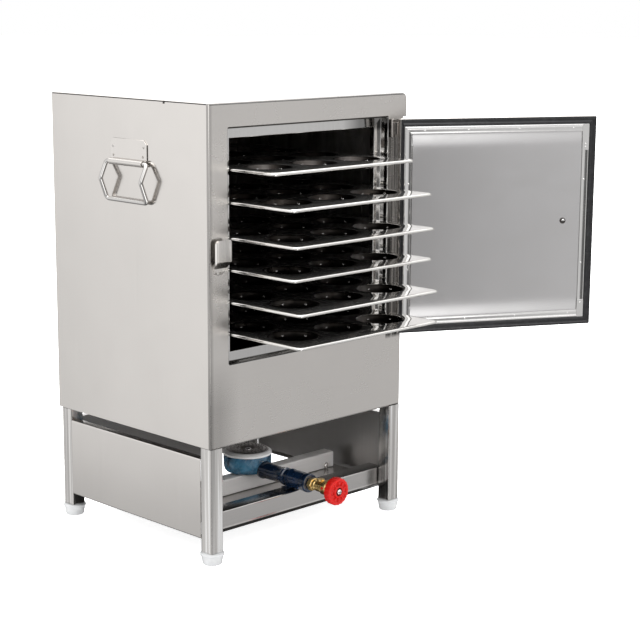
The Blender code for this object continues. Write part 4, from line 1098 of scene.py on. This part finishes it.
# ------------------------------------------------------------------ burner
def burner():
    bx, by = BURNER
    bm = bmesh.new()
    outer, inner = rr(131.0, 156.0, 54.2, 82.0, 2.4, 5), rr(132.5, 154.5, 55.7, 80.5, 1.2, 5)
    skin(bm, [place(inner, "x", 27.6), place(outer, "x", 27.6), place(outer, "x", 402.4), place(inner, "x", 402.4)], closed=True)
    make("burner_crossbar", bm, BAR, nodes=("burner_bar",), limit=50)
    bm = bmesh.new()
    lathe(bm, [(4.2, 0), (4.2, 2.4), (3.4, 2.9), (0, 2.9)], (384.4, 131.0, 59.5), NEG["y"], 6)
    lathe(bm, [(5.6, 0), (5.6, 0.7), (0, 0.7)], (384.4, 131.0, 59.5), NEG["y"], 24)
    lathe(bm, [(3.4, 0), (3.4, 2.0), (2.8, 2.4), (0, 2.4)], (408.5, 19.5, 169.5), NEG["x"], 6)
    make("bay_bolts", bm, LEGS, limit=30)

    def widen(bm):
        for v in bm.verts:
            v.co.x = bx - 2.2 + (v.co.x - bx) * 1.08
            v.co.y = by + (v.co.y - by) * 1.08

    # Head: bowl with a flat seat, ribs under the rim.
    bm = bmesh.new()
    lathe(bm, [(0, 82.8), (31.0, 82.8), (34.0, 84.2), (36.2, 87.5), (37.2, 92.0), (37.6, 98.0), (37.9, 110.5), (37.4, 112.3), (34.0, 112.3), (33.6, 108.2), (18.0, 106.6), (0, 106.6)], (bx, by, 0), "z", 64)
    widen(bm)
    make("burner_head", bm, TEAL, nodes=("burner_body",), limit=40)
    # Mixing tube with a collar at the head, clamp flange and foot at its mouth.
    bm = bmesh.new()
    tube = [(13.9, by - 34.5), (14.9, by - 36.0), (14.9, by - 41.5), (13.6, by - 43.5), (13.3, 82.0), (12.9, 62.0), (14.4, 59.5), (14.8, 57.0), (14.8, 54.5), (13.0, 53.0), (12.8, 50.0), (12.8, 44.0), (9.4, 43.0), (9.4, by - 50), (9.4, by - 34.5)]
    lathe(bm, tube, (bx, 0, TUBE_Z), "y", 40, closed=True)
    make("mixing_tube", bm, NAVY, limit=40)
    bm = bmesh.new()
    foot = [(bx - 9, 74.4), (bx + 9, 74.4), (bx + 9, 77.0), (bx + 7, 84.0), (bx - 7, 84.0), (bx - 9, 77.0)]
    prism(bm, foot, "y", 46.6, 50.8)
    prism(bm, [(bx - 12, 74.2), (bx + 12, 74.2), (bx + 12, 75.6), (bx - 12, 75.6)], "y", 43.0, 56.0)
    make("tube_foot", bm, NAVY, bevel=0.5)
    bm = bmesh.new()
    for sx in (-1, 1):
        prism(bm, arc(bx + sx * 15.5, TUBE_Z, 4.4, 0, 330, 11), "y", 54.6, 58.4)
        lathe(bm, [(0, 49.0), (2.9, 49.0), (3.4, 50.0), (3.4, 51.6), (2.0, 51.6), (2.0, 62.5), (0, 62.5)], (bx + sx * 15.5, 0, TUBE_Z), "y", 14)
    make("tube_clamp_ears", bm, NAVY, bevel=0.3)
    # Small screws on the tube's collar and the head's side.
    bm = bmesh.new()
    dome(bm, (bx - 4, by - 38.8, TUBE_Z + 14.6), "z", 2.2, 1.2, 12)
    dome(bm, (bx - 3, 57.0, TUBE_Z + 14.4), "z", 2.4, 1.3, 12)
    dome(bm, (bx - 1, 45.4, TUBE_Z + 15.2), "z", 1.8, 0.9, 12)
    make("tube_screws", bm, BRIGHT, limit=60)

    # Cap: ported lid with a chamfered rim, bright metal whitened further as a painted highlight.
    bm = bmesh.new()
    lathe(bm, [(0, 107.2), (10, 107.2), (10, 112.8), (38.2, 112.8), (38.7, 113.4), (38.7, 115.9), (37.8, 117.0), (35.0, 119.2), (33.2, 120.2), (15.0, 120.9), (13.4, 120.6), (11.6, 118.8), (0, 118.6)], (bx, by, 0), "z", 72)
    widen(bm)
    for face in bm.faces:
        c = face.calc_center_median()
        if math.hypot(c.x - bx + 2.2, c.y - by) > 36.0 and c.z > 113:
            face.material_index = 1
    make("cap_casting", bm, CAPMETAL, nodes=("burner_cap",), limit=30, mats=(RIM,))
    # The cap's ports are near-black discs of painted shade, not holes.
    bm = bmesh.new()
    for count, r, h in ((30, 30.4, 120.38), (24, 24.4, 120.62), (16, 18.6, 120.86)):
        for k in range(count):
            a = 2 * math.pi * k / count
            lathe(bm, [(1.35, 0.0), (1.25, 0.12), (0, 0.12)], (bx + r * math.cos(a), by + r * math.sin(a), h - 0.05), "z", 8)
    make("cap_ports", bm, HOLE_SHADE, limit=60)
    bm = bmesh.new()
    dome(bm, (bx, by, 118.5), "z", 5.5, 2.2, 20)
    make("cap_screw", bm, BRIGHT, limit=60)


burner()


def gas_train():
    bx, z = BURNER[0], TUBE_Z
    bm = bmesh.new()
    lathe(bm, [(13.3, 45.9), (14.9, 45.7), (15.6, 44.6), (15.6, 41.4), (14.9, 40.4), (14.7, 38.5), (14.9, 36.5), (15.2, 8.0), (15.7, 6.5), (15.75, 2.4), (15.2, 0.2), (14.4, -0.4), (9.2, -0.4), (9.2, 1.4), (13.2, 1.6)],
          (bx, 0, z), "y", 48, closed=True)
    make("air_bell_shell", bm, NAVY, nodes=("air_bell",), limit=35)
    # Valve body: hexagon, plug housing, spigot with barbs.
    bm = bmesh.new()
    lathe(bm, [(0, 26.0), (2.3, 26.0), (4.0, 18.0), (6.5, 14.0), (6.5, -1.2), (0, -1.2)], (bx, 0, z), "y", 28)
    lathe(bm, [(0, -1.2), (10.0, -1.2), (11.0, -2.2), (11.0, -9.0), (10.2, -10.0), (0, -10.0)], (bx, 0, z), "y", 6)
    lathe(bm, [(0, -9.8), (8.6, -9.8), (8.9, -12.0), (8.6, -15.0), (7.6, -16.0), (7.6, -18.0), (9.0, -19.5), (9.0, -29.5), (11.0, -31.5), (11.4, -33.0), (11.4, -42.5), (10.6, -44.0), (7.5, -46.0), (7.5, -50.0), (3.0, -50.0), (3.0, -63.8), (0, -63.8)], (bx, 0, z), "y", 36)
    lathe(bm, [(0, 2.0), (5.0, 4.0), (5.0, 19.5), (5.9, 22.0), (4.5, 24.8), (5.9, 27.0), (4.5, 29.8), (5.9, 32.0), (4.4, 38.0), (2.4, 38.0), (2.2, 30.0), (0, 30.0)], (bx, -20.0, z), "x", 24)
    lathe(bm, [(6.5, 8.6), (6.5, 12.0), (0, 12.0)], (bx, -24.5, z + 1.0), "z", 24)
    make("valve_turning", bm, BRASS, bevel=0.3, segs=2, nodes=("gas_valve",), limit=30)
    bm = bmesh.new()
    dome(bm, (bx - 10.6, -38.0, z + 2.0), NEG["x"], 2.6, 1.2, 12)
    make("valve_dot", bm, RED, limit=60)

    # Knob: ribbed rim, dished face with radial ribs and a hub.
    bm = bmesh.new()

    def scallop(a):
        return 1.0 + 0.018 * math.cos(20 * a)

    lathe(bm, [(3.2, -50.7), (11.5, -50.7), (13.0, -51.2), (20.0, -52.4), (21.6, -53.2), (22.2, -54.6), (22.2, -63.6), (21.6, -65.6), (20.4, -66.8), (18.8, -67.0), (17.4, -66.2), (16.8, -64.8), (10.6, -64.4), (9.8, -66.6), (8.8, -67.4), (7.4, -67.4), (6.8, -66.6), (6.6, -64.6), (3.2, -64.6)],
          (bx, 0, z), "y", 120, closed=True, squash=scallop)
    make("knob_wheel", bm, RED, "knob", nodes=("gas_knob",), limit=40)
    bm = bmesh.new()
    for k in range(10):
        a = math.radians(18 + 36 * k)
        c, s = math.cos(a), math.sin(a)
        pts = [(10.2, -1.0), (17.2, -1.5), (17.2, 1.5), (10.2, 1.0)]
        prism(bm, [(bx + u * c - w * s, z + u * s + w * c) for u, w in pts], "y", -66.2, -64.2)
    make("knob_ribs", bm, RED, "knob", bevel=0.4)
    # The hub's socket is a near-black disc of painted shade.
    bm = bmesh.new()
    lathe(bm, [(0, -64.8), (6.3, -64.8), (6.3, -65.2), (0, -65.2)], (bx, 0, z), "y", 28)
    make("knob_socket", bm, HOLE_SHADE, "knob", limit=40)
    bm = bmesh.new()
    lathe(bm, [(0, -69.4), (2.4, -69.4), (3.8, -68.8), (4.6, -67.6), (4.9, -66.4), (4.9, -65.3), (0, -65.3)], (bx, 0, z), "y", 24)
    make("knob_centre_screw", bm, BRIGHT, "knob", nodes=("knob_screw",), limit=40)
    # The screw's slot is a near-black block of painted shade.
    bm = bmesh.new()
    block(bm, (bx - 3.2, bx + 3.2), (-69.47, -68.6), (z - 0.45, z + 0.45))
    make("knob_screw_slot", bm, HOLE_SHADE, "knob", limit=40)


gas_train()


# ------------------------------------------------------------------ CAD nodes that stay
def dress(node, mat, bevel=0.0):
    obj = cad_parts[node]
    for s in obj.material_slots:
        s.material = mat
    if bevel:
        mod = obj.modifiers.new("edge", "BEVEL")
        mod.width = bevel / 1000
        mod.segments = 2
        mod.limit_method = "ANGLE"
        mod.angle_limit = math.radians(40)
        mod.harden_normals = True


for node in ("inner_left", "inner_right", "inner_back", "inner_ceiling"):
    dress(node, LINER)
dress("water_tank", TANK)
dress("base_ring", BAY)
for node in ("left_rack", "right_rack"):
    dress(node, LINER)
for node in ("wall_insulation", "top_insulation", "door_insulation"):
    dress(node, WOOL)


# ------------------------------------------------------------------ studio
def studio():
    bm = bmesh.new()
    n = 64
    rings = []
    for r in (0.5, 1.2, 2.5, 5.0, 12.0, 30.0):
        rings.append([bm.verts.new((r * math.cos(2 * math.pi * k / n), r * math.sin(2 * math.pi * k / n), 0.0)) for k in range(n)])
    bm.faces.new(rings[0])
    for one, two in zip(rings, rings[1:]):
        for k in range(n):
            bm.faces.new((one[k], one[(k + 1) % n], two[(k + 1) % n], two[k]))
    bmesh.ops.recalc_face_normals(bm, faces=bm.faces[:])
    mesh = bpy.data.meshes.new("floor")
    bm.to_mesh(mesh)
    bm.free()
    floor = bpy.data.objects.new("floor", mesh)
    floor.location.z = -0.0005
    scene.collection.objects.link(floor)
    t = Tree("floor_paper")
    c = t.mix(t.fit(t.noise(3.0, 3.0), 0.3, 0.7), (0.86, 0.86, 0.86), (0.88, 0.88, 0.88))
    mesh.materials.append(t.set(Base_Color=c, Roughness=0.9, Emission_Color=(1.0, 1.0, 1.0), Emission_Strength=0.84))
    floor.visible_glossy = False

    # What the bright metal sees of the shaded ground under and behind the cabinet.
    bm = bmesh.new()
    corners = [P(x, y, 0) for x, y in ((-10, -30), (1000, -30), (1000, 1000), (-10, 1000))]
    bm.faces.new([bm.verts.new((c.x, c.y, -0.0002)) for c in corners])
    mesh = bpy.data.meshes.new("shade")
    bm.to_mesh(mesh)
    bm.free()
    shade = bpy.data.objects.new("shade", mesh)
    scene.collection.objects.link(shade)
    t = Tree("shaded_ground")
    mesh.materials.append(t.set(Base_Color=t.mix(t.fit(t.noise(4.0), 0.3, 0.7), (0.05, 0.05, 0.05), (0.09, 0.088, 0.085)), Roughness=0.9, Specular_IOR_Level=0.0))
    shade.visible_camera = shade.visible_diffuse = shade.visible_shadow = shade.visible_transmission = False

    world = bpy.data.worlds.new("studio")
    scene.world = world
    world.use_nodes = True
    tree = world.node_tree
    background = tree.nodes["Background"]
    out = tree.nodes["World Output"]
    coord = tree.nodes.new("ShaderNodeTexCoord").outputs["Generated"]

    split = tree.nodes.new("ShaderNodeSeparateXYZ")
    tree.links.new(coord, split.inputs[0])
    flat = tree.nodes.new("ShaderNodeVectorMath")
    flat.operation = "MULTIPLY"
    tree.links.new(coord, flat.inputs[0])
    flat.inputs[1].default_value = (1, 1, 0)
    unit = tree.nodes.new("ShaderNodeVectorMath")
    unit.operation = "NORMALIZE"
    tree.links.new(flat.outputs[0], unit.inputs[0])

    def spread(socket, low, high, a=0.0, b=1.0):
        fit = tree.nodes.new("ShaderNodeMapRange")
        fit.interpolation_type = "SMOOTHSTEP"
        tree.links.new(socket, fit.inputs[0])
        for slot, number in zip(fit.inputs[1:5], (low, high, a, b)):
            slot.default_value = number
        return fit.outputs[0]

    def combine(kind, a, b):
        node = tree.nodes.new("ShaderNodeMath")
        node.operation = kind
        for socket, value in zip(node.inputs, (a, b)):
            if isinstance(value, float):
                socket.default_value = value
            else:
                tree.links.new(value, socket)
        return node.outputs[0]

    def sector(azimuth, near, far, stops):
        """Light from one side of the room, brighter or darker with height."""
        a = math.radians(azimuth)
        dot = tree.nodes.new("ShaderNodeVectorMath")
        dot.operation = "DOT_PRODUCT"
        tree.links.new(unit.outputs[0], dot.inputs[0])
        dot.inputs[1].default_value = (math.cos(a), math.sin(a), 0)
        side = spread(dot.outputs["Value"], math.cos(math.radians(far)), math.cos(math.radians(near)))
        ramp = tree.nodes.new("ShaderNodeValToRGB")
        ramp.color_ramp.interpolation = "EASE"
        tree.links.new(combine("MULTIPLY_ADD", split.outputs[2], 0.5), ramp.inputs[0])
        ramp.inputs[0].links[0].from_node.inputs[2].default_value = 0.5
        peak = max(v for _, v in stops)
        marks = ramp.color_ramp.elements
        while len(marks) < len(stops):
            marks.new(0.5)
        for mark, (z, v) in zip(marks, stops):
            mark.position = z * 0.5 + 0.5
            mark.color = (v / peak, v / peak, v / peak, 1)
        return combine("MULTIPLY", combine("MULTIPLY", side, ramp.outputs[0]), peak)

    total = combine("ADD", spread(split.outputs[2], 0.35, 0.80, 0.0, 1.45), 0.10)
    for args in ((45, 20, 62, ((-0.9, 0.2), (-0.3, 0.9), (-0.05, 1.35), (0.15, 1.30), (0.5, 1.5))),        # back right
                 (160, 25, 78, ((-0.9, 0.1), (-0.38, 0.70), (-0.20, 0.96), (-0.05, 1.12), (0.5, 0.9))),    # back left
                 (-55, 16, 56, ((-0.9, 0.1), (-0.35, 0.58), (-0.05, 0.68), (0.5, 0.9))),    # front right
                 (-94, 1.5, 8, ((-0.9, 0.1), (-0.40, 0.28), (-0.16, 0.20), (-0.05, 0.25), (0.1, 0.05))),  # low at the front
                                             (-113, 9, 20, ((-0.9, 1.2), (-0.42, 2.5), (-0.29, 0.0), (0.03, 0.0), (0.12, 1.75), (0.5, 1.4))),
                 (-100, 18, 42, ((-0.9, 0.2), (-0.42, 0.20), (-0.29, 0.04), (0.0, 0.02), (0.12, 0.12), (0.5, 0.5)))):  # front, low and dark
        total = combine("ADD", total, sector(*args))
    tree.links.new(total, background.inputs["Strength"])
    background.inputs["Color"].default_value = (1, 1, 1, 1)
    plain = tree.nodes.new("ShaderNodeBackground")
    plain.inputs["Color"].default_value = (1, 1, 1, 1)
    plain.inputs["Strength"].default_value = 1.0
    path = tree.nodes.new("ShaderNodeLightPath")
    mix = tree.nodes.new("ShaderNodeMixShader")
    tree.links.new(path.outputs["Is Camera Ray"], mix.inputs[0])
    tree.links.new(background.outputs[0], mix.inputs[1])
    tree.links.new(plain.outputs[0], mix.inputs[2])
    tree.links.new(mix.outputs[0], out.inputs["Surface"])

    def panel(name, place_at, look_at, size, energy):
        data = bpy.data.lights.new(name, "AREA")
        data.shape = "RECTANGLE"
        data.size, data.size_y = size
        data.energy = energy
        lamp = bpy.data.objects.new(name, data)
        scene.collection.objects.link(lamp)
        lamp.location = place_at
        lamp.rotation_euler = (Vector(look_at) - Vector(place_at)).to_track_quat("-Z", "Y").to_euler()

    panel("overhead", (0.1, 0.1, 3.0), (0, 0, 0), (2.6, 2.6), 58.0)
    scene.view_settings.view_transform = "Standard"
    scene.view_settings.look = "None"
    scene.view_settings.exposure = 0.0
    scene.view_settings.gamma = 1.0


studio()
